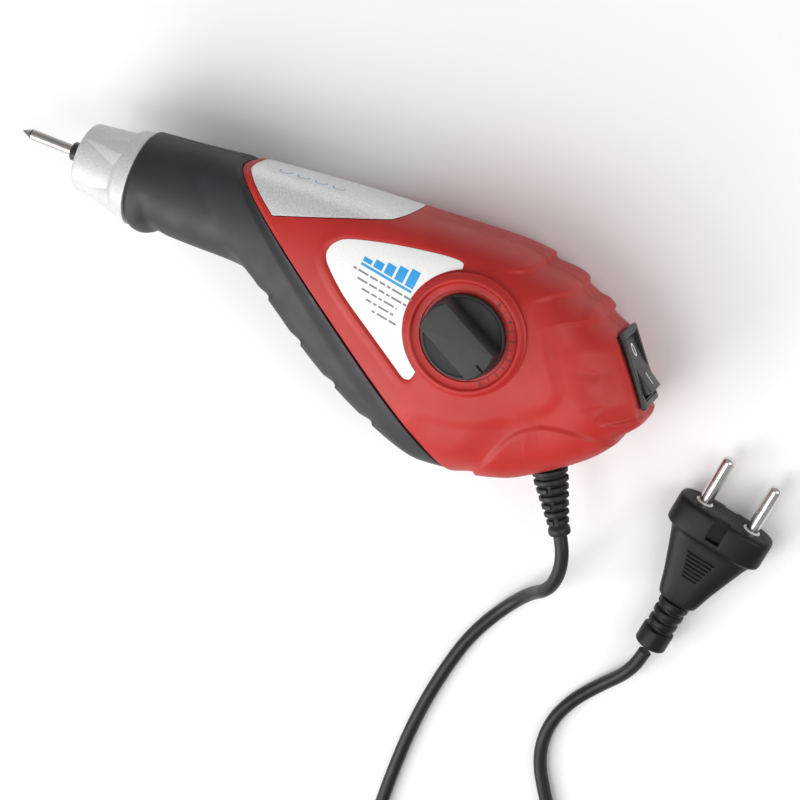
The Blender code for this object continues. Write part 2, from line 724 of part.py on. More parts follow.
def make_plunger():
    """Plunger on the needle line: needle socket in front, collar for the spring, then the armature."""
    line = axis_matrix(needle_point(0.0), (-1, 0, 0))
    socket, collar = NEEDLE_R + 0.4, 6.2
    plunger = turned("plunger", [(0.0, 83.0), (socket, 83.0), (socket, 94.0), (PLUNGER_R, 94.0),
                                 (PLUNGER_R, 46.0), (collar, 46.0), (collar, 44.0), (PLUNGER_R, 44.0),
                                 (PLUNGER_R, 16.4), (0.0, 16.4)],
                     line, steel(), 24)
    boolean(plunger, rod("clamp_hole", needle_point(CLAMP_SCREW_X, 1.0), needle_point(CLAMP_SCREW_X, 6.0),
                         1.7, None, 16, True))
    screw = rod("needle_clamp_screw", needle_point(CLAMP_SCREW_X, 2.2), needle_point(CLAMP_SCREW_X, 5.2),
                1.2, steel(), 12)
    set_origin(screw, needle_point(CLAMP_SCREW_X))
    armature = box("armature", (ARMATURE_FRONT_X, NEEDLE_Y - 11.0, SPLIT_Z - 9.0),
                   (ARMATURE_REAR_X, NEEDLE_Y + 11.0, SPLIT_Z + 9.0), iron())
    set_origin(armature, needle_point(ARMATURE_FRONT_X))


def make_plunger_supports():
    """Bush in the nose and guide in the housing."""
    line = axis_matrix(needle_point(0.0), (-1, 0, 0))
    turned("needle_bush", [(2.5, 103.5), (3.1, 103.5), (3.5, 103.1), (3.5, 101.8), (2.9, 101.8), (2.9, 98.4),
                           (4.6, 98.4), (4.6, 97.2), (2.5, 97.2)],
           line, black_rubber(), 24, closed=True)
    turned("plunger_guide", [(PLUNGER_R + 0.4, 70.0), (6.5, 70.0), (6.5, 50.5), (PLUNGER_R + 0.4, 50.5)],
           line, pale_plastic(), 28, closed=True)


def make_return_spring():
    steps = 10
    points = []
    for i in range(SPRING_TURNS * steps + 1):
        angle = 2 * math.pi * i / steps
        x = SPRING_FRONT_X + (SPRING_REAR_X - SPRING_FRONT_X) * i / (SPRING_TURNS * steps)
        points.append((x, NEEDLE_Y + SPRING_R * math.cos(angle), SPLIT_Z + SPRING_R * math.sin(angle)))
    tube("return_spring", points, SPRING_WIRE_R, steel(), 1)


# ---------------------------------------------------------------- magnet

def make_core():
    core = box("core_stack", (CORE_FRONT_X, NEEDLE_Y - CORE_HALF_Y, SPLIT_Z - CORE_HALF_Z),
               (CORE_REAR_X, NEEDLE_Y + CORE_HALF_Y, SPLIT_Z + CORE_HALF_Z), iron())
    for index, side in enumerate((-1, 1)):
        near, far = NEEDLE_Y + side * LEG_HALF_Y, NEEDLE_Y + side * WINDOW_END_Y
        window = box("core_window_%d" % index, (CORE_FRONT_X - 2.0, min(near, far), 0.0),
                     (CORE_REAR_X - YOKE_T, max(near, far), 60.0), None, True)
        boolean(core, window)
    shape = bmesh.new()
    for x, y in CORE_SCREWS:
        add_rod(shape, (x, y, 0.0), (x, y, 60.0), CLEARANCE_R, 16)
    boolean(core, from_bmesh("core_holes", shape, None, True))


def around_leg(name, front, rear, half_y, low_z, high_z, look=None, cutter=False):
    """Box around the core's middle leg."""
    return box(name, (front, NEEDLE_Y - half_y, SPLIT_Z + low_z), (rear, NEEDLE_Y + half_y, SPLIT_Z + high_z),
               look, cutter)


def make_coil():
    """Bobbin on the middle leg, with the winding between its flanges."""
    front, rear = CORE_FRONT_X + 2.5, CORE_REAR_X - YOKE_T - 0.5
    bobbin = around_leg("bobbin", front, rear, 9.1, -12.6, 11.4, pale_plastic())
    bore = around_leg("bobbin_bore", front - 1.0, rear + 1.0, LEG_HALF_Y + GAP, -8.3, 8.3, None, True)
    boolean(bobbin, bore)
    waist = around_leg("bobbin_waist", front + 1.0, rear - 1.0, 12.0, -16.0, 16.0, None, True)
    boolean(waist, around_leg("bobbin_tube", front - 3.0, rear + 3.0, 5.6, -9.1, 9.1, None, True))
    boolean(bobbin, waist)
    winding = around_leg("winding", front + 1.3, rear - 1.3, 8.8, -12.0, 10.9, copper())
    bevel(winding, 2.0, 3, 60.0)
    boolean(winding, around_leg("winding_bore", front - 5.0, rear + 5.0, 5.9, -9.4, 9.4, None, True))


def make_core_screws():
    for index, (x, y) in enumerate(CORE_SCREWS):
        turned("core_screw_%s" % "ab"[index], [(0.0, 39.6), (2.8, 39.6), (3.0, 39.2), (3.0, 36.6),
                                               (1.6, 36.6), (1.6, 16.0), (0.0, 15.2)],
               axis_matrix((x, y, 0.0), (0, 0, 1)), steel(), 16)


# ---------------------------------------------------------------- stroke dial

def make_dial():
    seat = axis_matrix((DIAL_X, DIAL_Y, DIAL_SEAT_Z), (0, 0, 1))
    knob = turned("dial_knob", [(0.0, 2.0), (KNOB_R - 1.0, 2.0), (KNOB_R, 1.2), (KNOB_R, 0.0), (0.0, 0.0)],
                  seat, black_plastic(), 36)
    grip = turned("knob_grip_round", [(0.0, KNOB_HEIGHT), (KNOB_R - 1.4, KNOB_HEIGHT - 0.3),
                                      (KNOB_R - 0.8, 1.0), (0.0, 1.0)],
                  seat, None, 36, cutter=True)
    turn = Matrix.Rotation(math.radians(DIAL_REST_DEG), 4, "Z")
    bar = box("knob_bar", (-16.0, -6.1, 1.0), (16.0, 6.1, 12.0), None, True, seat @ turn)
    boolean(grip, bar, "INTERSECT")
    boolean(knob, grip, "UNION")
    shaft = turned("dial_shaft", [(0.0, 54.3), (3.1, 54.3), (3.1, 43.9), (0.0, 43.9)],
                   axis_matrix((DIAL_X, DIAL_Y, 0.0), (0, 0, 1)), pale_plastic(), 24)
    lean = math.radians(DIAL_REST_DEG + 90.0)
    pin_x, pin_y = DIAL_X + CAM_OFFSET * math.cos(lean), DIAL_Y + CAM_OFFSET * math.sin(lean)
    pin = rod("cam_pin", (pin_x, pin_y, 39.4), (pin_x, pin_y, 44.5), 1.6, None, 20, True)
    boolean(shaft, pin, "UNION")
    turned("dial_clip", [(3.5, 50.6), (6.0, 50.6), (6.0, 49.4), (3.5, 49.4)],
           axis_matrix((DIAL_X, DIAL_Y, 0.0), (0, 0, 1)), steel(), 24, closed=True)


def make_stroke_stop():
    """Bar that the cam pin moves along X; its hook meets the armature."""
    near, far = DIAL_Y - 3.0, DIAL_Y + 5.0
    front = ARMATURE_FRONT_X - 3.5
    bar = box("stroke_stop", (front, near, 40.1), (68.0, far, 41.8), pale_plastic())
    set_origin(bar, (DIAL_X, DIAL_Y, 41.0))
    boolean(bar, box("stop_hook", (front, near, 32.5), (front + 1.5, far, 41.0), None, True), "UNION")
    boolean(bar, rod("stop_slot", (DIAL_X, DIAL_Y, 36.0), (DIAL_X, DIAL_Y, 46.0), 3.5, None, 28, True))


# ---------------------------------------------------------------- switch

def face_matrix():
    """Frame on the rear face: X along it towards the belly, Y down to the table, Z pointing out."""
    centre = (FACE_TOP + FACE_BELLY) / 2
    along = (FACE_BELLY - FACE_TOP).normalized()
    along = Vector((along.x, along.y, 0.0))
    out = Vector((-along.y, along.x, 0.0))
    side = out.cross(along)
    turn = Matrix((along, side, out)).transposed().to_4x4()
    return Matrix.Translation(Vector((centre.x, centre.y, SPLIT_Z)) * MM) @ turn


def make_switch():
    frame = face_matrix()
    half_l, half_w = SWITCH_LENGTH / 2, SWITCH_WIDTH / 2
    body = box("switch_body", (-half_l, -half_w, GAP), (half_l, half_w, GAP + BEZEL_T), black_plastic(),
               matrix=frame)
    bevel(body, 0.5, 1)
    can = box("switch_can", (-SWITCH_CAN_X, -SWITCH_CAN_Y, -13.0), (SWITCH_CAN_X, SWITCH_CAN_Y, GAP + 0.6),
              None, True, frame)
    boolean(body, can, "UNION")
    well = box("switch_well", (-SWITCH_WELL_X, -SWITCH_WELL_Y, -6.4), (SWITCH_WELL_X, SWITCH_WELL_Y, 6.0),
               None, True, frame)
    boolean(body, well)
    rocker = bpy.data.objects.new("switch_rocker", rocker_mesh())
    place(rocker, black_plastic())
    tilt = Matrix.Rotation(math.radians(-ROCKER_REST_DEG), 4, "Y")
    rocker.matrix_world = frame @ Matrix.Translation((0.0, 0.0, -PIVOT_DEPTH * MM)) @ tilt
    for index, x in enumerate((-7.0, 2.0)):
        box("switch_terminal_%s" % "ab"[index], (x - 2.4, -0.4, -20.5), (x + 2.4, 0.4, -13.3), brass(),
            matrix=frame)


def rocker_mesh():
    """Rocker seen from its pivot: two shallow planes that meet over the pivot, a round belly below."""
    outline = [(-9.9, 0.2), (-9.9, 3.1), (0.0, 2.3), (9.9, 3.1), (9.9, 0.2), (4.0, -4.2), (-4.0, -4.2)]
    shape = bmesh.new()
    low = [shape.verts.new((x * MM, -ROCKER_HALF_WIDTH * MM, z * MM)) for x, z in outline]
    face = shape.faces.new(low)
    made = bmesh.ops.extrude_face_region(shape, geom=[face])
    moved = [v for v in made["geom"] if isinstance(v, bmesh.types.BMVert)]
    bmesh.ops.translate(shape, verts=moved, vec=(0.0, 2 * ROCKER_HALF_WIDTH * MM, 0.0))
    bmesh.ops.recalc_face_normals(shape, faces=shape.faces)
    mesh = bpy.data.meshes.new("switch_rocker")
    shape.to_mesh(mesh)
    shape.free()
    return mesh


# ---------------------------------------------------------------- fasteners and wiring

def make_housing_screws():
    for index, (x, y) in enumerate(HOUSING_SCREWS):
        turned("housing_screw_%d" % (index + 1), [(0.0, 39.4), (1.1, 38.4), (1.4, 37.4), (1.4, 15.7),
                                                  (2.9, 15.7), (3.0, 15.4), (3.0, 13.6), (2.6, 13.2),
                                                  (0.0, 13.2)],
               axis_matrix((x, y, 0.0), (0, 0, 1)), steel(), 10)


def exit_point(along, side=0.0, height=0.0):
    """Point on the cord exit's axis, in mm along it from the housing's surface."""
    across = Vector((-EXIT_DIR.y, EXIT_DIR.x, 0.0))
    return Vector((EXIT_X, EXIT_Y, SPLIT_Z + height)) + EXIT_DIR * along + across * side


def make_cord_exit():
    origin = exit_point(0.0)
    turned("strain_relief", [(0.0, RELIEF_LENGTH), (3.6, RELIEF_LENGTH), (4.0, RELIEF_LENGTH - 0.4),
                             (4.0, RELIEF_LENGTH - 3.0), (3.7, RELIEF_LENGTH - 3.4), (4.6, 9.0), (6.4, 1.6),
                             (6.4, 0.9), (4.7, 0.9), (4.7, -6.4), (6.6, -6.4), (6.6, -8.4), (0.0, -8.4)],
           axis_matrix(origin, EXIT_DIR), black_rubber(), 28)
    rod("cord_stub", exit_point(-8.8), exit_point(-20.0), CORD_R, black_rubber(), 12)
    clamp = box("cord_clamp", (-8.0, -2.2, -2.5), (8.0, 2.2, 2.5), pale_plastic(),
                matrix=clamp_frame())
    tunnel = rod("clamp_tunnel", exit_point(-24.0), exit_point(-4.0), CORD_R + GAP, None, 16, True)
    boolean(clamp, tunnel)
    shape = bmesh.new()
    for side in (-CLAMP_SCREW_SIDE, CLAMP_SCREW_SIDE):
        add_rod(shape, exit_point(CLAMP_ALONG, side, -10.0), exit_point(CLAMP_ALONG, side, 15.0), 1.5, 12)
    boolean(clamp, from_bmesh("clamp_holes", shape, None, True))
    for index, side in enumerate((-CLAMP_SCREW_SIDE, CLAMP_SCREW_SIDE)):
        spot = exit_point(CLAMP_ALONG, side)
        turned("clamp_screw_%s" % "ab"[index], [(0.0, 36.4), (2.2, 36.4), (2.4, 36.0), (2.4, 34.3),
                                                (1.2, 34.3), (1.2, 23.0), (0.0, 22.4)],
               axis_matrix((spot.x, spot.y, 0.0), (0, 0, 1)), steel(), 12)


def clamp_frame():
    """Clamp bar's frame: X across the cord, Y along it, Z up, over the cord's upper half."""
    across = Vector((-EXIT_DIR.y, EXIT_DIR.x, 0.0))
    turn = Matrix((across, -EXIT_DIR, Vector((0.0, 0.0, 1.0)))).transposed().to_4x4()
    return Matrix.Translation(exit_point(CLAMP_ALONG, 0.0, 3.4) * MM) @ turn


def make_wires():
    routes = {
        "wire_line": [exit_point(-21.2, 1.2, 1.0), exit_point(-24.0, 1.2, 1.4), (85.0, -4.0, 31.0),
                      (86.0, 2.0, 31.5), (91.0, 6.5, 31.0), (96.4, 9.6, 30.0)],
        "wire_switched": [(93.2, 15.6, 30.6), (88.0, 20.0, 33.0), (78.0, 25.0, 35.0), (60.0, 26.0, 35.0),
                          (44.0, 22.0, 34.0), (36.0, 18.0, 33.0), (32.0, 17.0, 33.0)],
        "wire_neutral": [exit_point(-21.2, -1.2, -1.0), exit_point(-23.5, -1.6, -1.2), (80.0, -7.0, 26.0),
                         (66.0, -8.0, 25.0), (50.0, -2.0, 25.0), (40.0, 6.0, 26.0), (32.0, 11.0, 27.0)],
    }
    for name, points in routes.items():
        dense = walk(smooth_curve(points, 12), 18)
        tube(name, dense, 0.9, black_plastic(), 1)


# ---------------------------------------------------------------- cord and plug

def walk_route(start, heading_deg, legs):
    """Points every 2 mm or so along a route of arcs."""
    place, pitch_deg = Vector(start), 0.0
    points = [place.copy()]
    for length, turn, tilt in legs:
        count = round(length / 2.0)
        for _ in range(count):
            heading = math.radians(heading_deg + turn / count / 2)
            pitch = math.radians(pitch_deg + tilt / count / 2)
            place += Vector((math.cos(heading) * math.cos(pitch), math.sin(heading) * math.cos(pitch),
                             math.sin(pitch))) * (length / count)
            heading_deg += turn / count
            pitch_deg += tilt / count
            points.append(place.copy())
    return points


def make_cord():
    for name, route in (("cord_lead", walk_route(LEAD_START, LEAD_HEADING, LEAD_LEGS[:-2])),
                        ("cord_tail", walk_route(TAIL_START, TAIL_HEADING, TAIL_LEGS[:-3]))):
        tube(name, walk(route, 30), CORD_R, black_plastic(), 2)
    profile = [(COIL_R - COIL_HALF_WIDTH + 2.0, COIL_TOP), (COIL_R + COIL_HALF_WIDTH - 2.0, COIL_TOP),
               (COIL_R + COIL_HALF_WIDTH, COIL_TOP - 2.0), (COIL_R + COIL_HALF_WIDTH, COIL_BOTTOM + 1.5),
               (COIL_R + COIL_HALF_WIDTH - 1.5, COIL_BOTTOM), (COIL_R - COIL_HALF_WIDTH + 1.5, COIL_BOTTOM),
               (COIL_R - COIL_HALF_WIDTH, COIL_BOTTOM + 1.5), (COIL_R - COIL_HALF_WIDTH, COIL_TOP - 2.0)]
    turned("cord_coil", profile, axis_matrix((COIL_X, COIL_Y, 0.0), (0, 0, 1)), black_plastic(), 40,
           closed=True)
    tie = box("cord_tie", (COIL_X - 2.5, COIL_Y - COIL_R - COIL_HALF_WIDTH - 0.9, 0.0),
              (COIL_X + 2.5, COIL_Y - COIL_R + COIL_HALF_WIDTH + 0.9, COIL_TOP + 0.9), black_plastic())
    bevel(tie, 2.0, 2, 60.0)
    room = box("tie_room", (COIL_X - 9.0, COIL_Y - COIL_R - COIL_HALF_WIDTH - 0.35, COIL_BOTTOM - 0.3),
               (COIL_X + 9.0, COIL_Y - COIL_R + COIL_HALF_WIDTH + 0.35, COIL_TOP + 0.3), None, True)
    bevel(room, 1.4, 2, 60.0)
    boolean(tie, room)


def plug_matrix():
    """Plug's frame on its pin face: Z towards the pin tips, X across both pins, Y down to the table."""
    heading = math.radians(PLUG_HEADING_DEG)
    ahead = Vector((math.cos(heading), math.sin(heading), 0.0))
    across = Vector((math.sin(heading), -math.cos(heading), 0.0))
    down = ahead.cross(across)
    turn = Matrix((across, down, ahead)).transposed().to_4x4()
    return Matrix.Translation(PLUG_FACE * MM) @ turn


def rounded_outline(half_x, half_y, power, count):
    """Closed superellipse outline."""
    result = []
    for i in range(count):
        angle = 2 * math.pi * i / count
        cosine, sine = math.cos(angle), math.sin(angle)
        result.append((math.copysign(abs(cosine) ** power, cosine) * half_x,
                       math.copysign(abs(sine) ** power, sine) * half_y))
    return result


def in_frame(name, shape, frame, look=None, cutter=False):
    item = from_bmesh(name, shape, look, cutter)
    item.matrix_world = frame
    return item


def make_plug_body(frame):
    """Oval head with a notch in the middle of each wide side, tapering to the collar."""
    shape = bmesh.new()
    levels = [(0.0, 17.8, 8.6, 0.7), (-0.8, 18.4, 9.2, 0.7), (-10.6, 18.4, 9.2, 0.7), (-11.4, 15.6, 7.4, 0.6),
              (-36.0, 7.6, 5.6, 0.6), (-37.0, 6.2, 5.0, 0.8)]
    count = 28
    rows = []
    for z, half_x, half_y, power in levels:
        rows.append([shape.verts.new((x * MM, y * MM, z * MM))
                     for x, y in rounded_outline(half_x, half_y, power, count)])
    for first, second in zip(rows, rows[1:]):
        for i in range(count):
            j = (i + 1) % count
            shape.faces.new([first[i], second[i], second[j], first[j]])
    shape.faces.new(rows[0])
    shape.faces.new(rows[-1][::-1])
    bmesh.ops.recalc_face_normals(shape, faces=shape.faces)
    body = in_frame("plug_body", shape, frame, black_rubber())
    notches, sockets = bmesh.new(), bmesh.new()
    for side in (-1, 1):
        low, high = min(side * 6.4, side * 14.0), max(side * 6.4, side * 14.0)
        add_box(notches, (-2.6, low, -8.6), (2.6, high, 3.0))
        x = side * PIN_PITCH / 2
        add_rod(sockets, (x, 0.0, -6.0), (x, 0.0, 4.0), PIN_R + GAP, 20)
    boolean(body, in_frame("plug_notches", notches, frame, cutter=True))
    boolean(body, in_frame("pin_sockets", sockets, frame, cutter=True))


def make_plug():
    frame = plug_matrix()
    make_plug_body(frame)
    turned("plug_collar", [(0.0, -37.3), (5.8, -37.3), (5.8, -40.0), (5.0, -40.4), (5.0, -41.6), (5.6, -42.0),
                           (5.6, -44.0), (4.9, -44.4), (4.9, -45.6), (5.4, -46.0), (5.4, -48.0), (4.8, -48.4),
                           (4.8, -49.6), (5.9, -50.0), (5.9, -56.6), (5.3, -57.2), (0.0, -57.2)],
           frame, black_rubber(), 18)
    for index, side in enumerate((-1, 1)):
        turned("plug_pin_%s" % "ab"[index], [(0.0, PIN_LENGTH), (1.4, PIN_LENGTH - 0.3),
                                             (2.1, PIN_LENGTH - 1.0), (PIN_R, PIN_LENGTH - 2.2),
                                             (PIN_R, -5.7), (0.0, -5.7)],
               frame @ Matrix.Translation((side * PIN_PITCH / 2 * MM, 0.0, 0.0)), steel(), 20)


def main():
    clear_scene()
    make_housing()
    make_rating_label()
    make_nose_cap()
    make_needle()
    make_plunger()
    make_plunger_supports()
    make_return_spring()
    make_core()
    make_coil()
    make_core_screws()
    make_dial()
    make_stroke_stop()
    make_switch()
    make_housing_screws()
    make_cord_exit()
    make_wires()
    make_cord()
    make_plug()


main()
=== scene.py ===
"""Looks of the electric engraving pen: fine surfaces, materials, cord, light and camera.

The lengths in this script are in millimetres, in the frame of the CAD model: +X from the needle to
the rear, +Y to the silver panel on the back, +Z up through the dial.
"""

import math

import bmesh
import bpy
import numpy as np
from mathutils import Matrix, Vector
from mathutils.bvhtree import BVHTree


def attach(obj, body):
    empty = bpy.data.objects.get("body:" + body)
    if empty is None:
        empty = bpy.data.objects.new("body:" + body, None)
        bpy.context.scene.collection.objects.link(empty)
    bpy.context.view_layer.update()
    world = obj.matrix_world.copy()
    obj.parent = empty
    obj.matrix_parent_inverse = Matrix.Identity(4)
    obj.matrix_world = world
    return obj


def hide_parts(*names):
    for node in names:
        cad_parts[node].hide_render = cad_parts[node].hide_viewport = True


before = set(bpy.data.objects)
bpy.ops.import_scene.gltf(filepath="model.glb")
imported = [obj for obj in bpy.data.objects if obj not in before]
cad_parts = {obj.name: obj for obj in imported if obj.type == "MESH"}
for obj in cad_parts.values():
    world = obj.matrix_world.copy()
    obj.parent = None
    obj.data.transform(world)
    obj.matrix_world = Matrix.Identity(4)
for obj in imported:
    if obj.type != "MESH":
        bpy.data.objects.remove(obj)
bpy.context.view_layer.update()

MM = 0.001
SPLIT_Z = 28.0                  # height of the seam between the two shells

# Camera: its place, and the directions of its picture
CAMERA_PLACE = Vector((217.653, 242.665, 787.707))
VIEW_AXIS = Vector((0.21512, 0.32618, 0.92051))
VIEW_RIGHT = Vector((0.90355, 0.29119, -0.31434))
VIEW_UP = Vector((-0.37057, 0.89935, -0.23208))
LENS_MM = 105.0
SENSOR_MM = 36.0

# Lights, each (name, place, target, size, watts)
LIGHTS = [("key", (-330.0, -480.0, 440.0), (0.0, 0.0, 20.0), (480.0, 480.0), 3.6),
          ("fill", (460.0, 120.0, 420.0), (60.0, 0.0, 20.0), (260.0, 400.0), 1.2),
          ("top", (-40.0, -300.0, 880.0), (40.0, 0.0, 20.0), (500.0, 500.0), 2.9)]
WORLD_STRENGTH = 0.37
FLOOR_HALF_M = 3.0
FLOOR_DROP_M = 0.0002           # the floor lies just under the part's lowest face

# Cord
CORD_R = 2.5
EXIT_DIR = Vector((0.467, -0.884, 0.0)).normalized()
COIL_X, COIL_Y = 116.93, -220.0
COIL_R = 30.76                  # at the middle of the turns
COIL_PITCH = 5.08               # between neighbouring turns
COIL_LAYERS = (3.5, 8.6)        # heights of the two layers
# Route of the cord as arcs, each (length, change of heading, change of pitch), angles in degrees
LEAD_START, LEAD_HEADING = (110.0, -50.6, 28.0), -62.15
LEAD_LEGS = [(2.0, 0.0, 0.0), (2.0, -4.8, 0.0), (25.6, -61.2, -43.1), (3.5, 0.0, -5.9),
             (2.6, 0.0, 0.0), (29.1, 8.0, 49.0), (20.0, 14.0, 0.0), (44.0, 12.0, 0.0), (28.0, 4.15, 0.0),
             (8.0, 0.0, 3.0), (8.0, 0.0, 0.0), (8.0, 0.0, -3.0)]
TAIL_START, TAIL_HEADING = (150.8, -83.4, 9.3), -100.0
TAIL_LEGS = [(3.0, 0.0, 0.0), (14.0, -22.0, -20.0), (5.3, -5.0, 0.0), (14.0, 0.0, 20.0),
             (12.0, 15.0, 0.0), (28.0, 50.0, 0.0), (25.0, 8.0, 0.0), (12.0, -9.0, 0.0),
             (12.0, -9.0, 0.0), (13.5, -8.0, 25.8), (13.5, -10.0, -25.8)]


# ---------------------------------------------------------------- materials

def material(name, colour, roughness, metallic=0.0, specular=0.5):
    """New node material with uniform values on its Principled BSDF."""
    made = bpy.data.materials.new(name)
    made.use_nodes = True
    shader = made.node_tree.nodes["Principled BSDF"]
    shader.inputs["Base Color"].default_value = (*colour, 1.0)
    shader.inputs["Roughness"].default_value = roughness
    shader.inputs["Metallic"].default_value = metallic
    shader.inputs["Specular IOR Level"].default_value = specular
    return made


def add_node(made, kind, **inputs):
    node = made.node_tree.nodes.new(kind)
    for key, value in inputs.items():
        node.inputs[key].default_value = value
    return node


def noise(made, per_mm, detail=2.0, stretch=(1.0, 1.0, 1.0)):
    """Noise with a number of features per millimetre, optionally stretched."""
    links = made.node_tree.links
    place = add_node(made, "ShaderNodeTexCoord")
    scale = add_node(made, "ShaderNodeMapping")
    scale.inputs["Scale"].default_value = stretch
    texture = add_node(made, "ShaderNodeTexNoise", Scale=per_mm / MM, Detail=detail)
    links.new(place.outputs["Object"], scale.inputs["Vector"])
    links.new(scale.outputs["Vector"], texture.inputs["Vector"])
    return texture.outputs["Fac"]


def vary_colour(made, value, first, second, start=0.35, end=0.65):
    ramp = add_node(made, "ShaderNodeValToRGB")
    ramp.color_ramp.elements[0].position = start
    ramp.color_ramp.elements[1].position = end
    ramp.color_ramp.elements[0].color = (*first, 1.0)
    ramp.color_ramp.elements[1].color = (*second, 1.0)
    shader = made.node_tree.nodes["Principled BSDF"]
    made.node_tree.links.new(value, ramp.inputs["Fac"])
    made.node_tree.links.new(ramp.outputs["Color"], shader.inputs["Base Color"])


def vary_roughness(made, value, low, high):
    """Maps the middle of a noise to a range of roughness."""
    node = add_node(made, "ShaderNodeMapRange", **{"From Min": 0.3, "From Max": 0.7,
                                                   "To Min": low, "To Max": high})
    shader = made.node_tree.nodes["Principled BSDF"]
    made.node_tree.links.new(value, node.inputs["Value"])
    made.node_tree.links.new(node.outputs["Result"], shader.inputs["Roughness"])


def add_bump(made, value, depth_mm, strength=1.0, before=None):
    bump = add_node(made, "ShaderNodeBump", Strength=strength, Distance=depth_mm * MM)
    made.node_tree.links.new(value, bump.inputs["Height"])
    if before is not None:
        made.node_tree.links.new(before.outputs["Normal"], bump.inputs["Normal"])
    shader = made.node_tree.nodes["Principled BSDF"]
    made.node_tree.links.new(bump.outputs["Normal"], shader.inputs["Normal"])
    return bump


def moulded(name, dark, light, roughness, grain_per_mm=3.0, grain_mm=0.03, specular=0.5):
    """Moulded plastic or rubber: slow colour drift, uneven gloss and a fine grain."""
    made = material(name, light, roughness, 0.0, specular)
    vary_colour(made, noise(made, 0.035, 3.0), dark, light)
    vary_roughness(made, noise(made, 0.12, 4.0), roughness - 0.05, roughness + 0.06)
    waves = add_bump(made, noise(made, 0.08, 1.0), 0.12, 0.25)
    add_bump(made, noise(made, grain_per_mm, 3.0), grain_mm, 0.6, waves)
    return made


def metal(name, dark, light, roughness, stretch=(1.0, 1.0, 1.0), lines_per_mm=4.0, depth_mm=0.01):
    """Ground or turned metal: fine lines across the stretch, uneven gloss."""
    made = material(name, light, roughness, 1.0)
    vary_colour(made, noise(made, lines_per_mm, 3.0, stretch), dark, light)
    vary_roughness(made, noise(made, 0.4, 3.0), roughness - 0.06, roughness + 0.08)
    add_bump(made, noise(made, lines_per_mm, 2.0, stretch), depth_mm, 0.5)
    return made


def speckled(name, base, dark, bright, roughness, metallic=0.55):
    """Silver paint: fine flakes, brighter and darker specks, uneven gloss."""
    made = material(name, base, roughness, metallic)
    vary_colour(made, noise(made, 2.6, 4.0), dark, bright, 0.38, 0.62)
    vary_roughness(made, noise(made, 1.8, 3.0), roughness - 0.07, roughness + 0.08)
    add_bump(made, noise(made, 4.0, 2.0), 0.02, 0.5)
    return made


def ink(name, colour, roughness=0.5):
    """Printed ink: slightly uneven in tone and gloss."""
    made = material(name, colour, roughness)
    darker = tuple(c * 0.95 for c in colour)
    vary_colour(made, noise(made, 1.2, 3.0), darker, colour)
    vary_roughness(made, noise(made, 0.8, 3.0), roughness - 0.06, roughness + 0.06)
    add_bump(made, noise(made, 3.0, 2.0), 0.01, 0.4)
    return made


RED = moulded("red_plastic", (0.42, 0.017, 0.013), (0.475, 0.024, 0.018), 0.45, 3.2, 0.03, 0.35)
RUBBER = moulded("black_rubber", (0.016, 0.016, 0.019), (0.024, 0.024, 0.030), 0.54, 2.4, 0.05)
BLACK = moulded("black_plastic", (0.022, 0.021, 0.020), (0.032, 0.030, 0.029), 0.42, 3.0, 0.04)
SATIN = moulded("switch_plastic", (0.018, 0.018, 0.019), (0.026, 0.026, 0.027), 0.36, 3.0, 0.03)
KNOB = moulded("knob_plastic", (0.014, 0.014, 0.015), (0.021, 0.021, 0.023), 0.48, 3.4, 0.05, 0.4)
PLUG = moulded("plug_rubber", (0.006, 0.006, 0.006), (0.010, 0.010, 0.011), 0.42, 2.2, 0.04, 0.22)
RELIEF = moulded("relief_rubber", (0.009, 0.009, 0.009), (0.015, 0.015, 0.015), 0.46, 2.2, 0.04, 0.35)
SHEATH = moulded("cord_sheath", (0.008, 0.008, 0.009), (0.013, 0.013, 0.015), 0.42, 1.6, 0.04, 0.35)
PALE = moulded("natural_plastic", (0.70, 0.68, 0.62), (0.78, 0.76, 0.70), 0.42, 2.0, 0.03)
WIRE = moulded("wire_sheath", (0.10, 0.16, 0.36), (0.13, 0.20, 0.42), 0.40, 2.0, 0.02)
TIE = moulded("tie_plastic", (0.05, 0.05, 0.055), (0.07, 0.07, 0.075), 0.45, 2.0, 0.03)
SILVER = speckled("silver_paint", (0.82, 0.82, 0.82), (0.68, 0.68, 0.68), (0.94, 0.94, 0.95), 0.42)
CAP_SILVER = speckled("cap_silver", (0.62, 0.62, 0.62), (0.55, 0.55, 0.55), (0.69, 0.69, 0.70), 0.46, 0.15)
LABEL_WHITE = ink("label_white", (0.84, 0.84, 0.83), 0.36)
INK_BLUE = ink("ink_blue", (0.012, 0.32, 0.72), 0.40)
INK_PALE_BLUE = ink("ink_pale_blue", (0.16, 0.42, 0.72), 0.40)
INK_GREY = ink("ink_grey", (0.20, 0.20, 0.21), 0.50)
INK_BLACK = ink("ink_black", (0.08, 0.012, 0.010), 0.50)
INK_WHITE = ink("ink_white", (0.84, 0.84, 0.84), 0.45)
STEEL_TURNED = metal("steel_turned", (0.36, 0.34, 0.32), (0.50, 0.47, 0.45), 0.40, (8.0, 0.4, 0.4))
CARBIDE = metal("carbide", (0.30, 0.30, 0.32), (0.42, 0.42, 0.44), 0.32, (6.0, 0.6, 0.6))
PIN_STEEL = metal("pin_nickel", (0.62, 0.61, 0.59), (0.74, 0.73, 0.71), 0.20, (0.6, 4.0, 0.6), 2.0, 0.006)
ZINC = metal("zinc", (0.50, 0.50, 0.52), (0.64, 0.64, 0.66), 0.34)
IRON = metal("laminated_iron", (0.22, 0.22, 0.23), (0.34, 0.34, 0.35), 0.46, (0.3, 0.3, 8.0))
BUSH_DARK = moulded("burnished_bush", (0.012, 0.012, 0.014), (0.022, 0.022, 0.025), 0.34, 3.0, 0.02)
COPPER = metal("copper_wire", (0.52, 0.20, 0.09), (0.68, 0.30, 0.15), 0.32, (6.0, 0.4, 0.4))
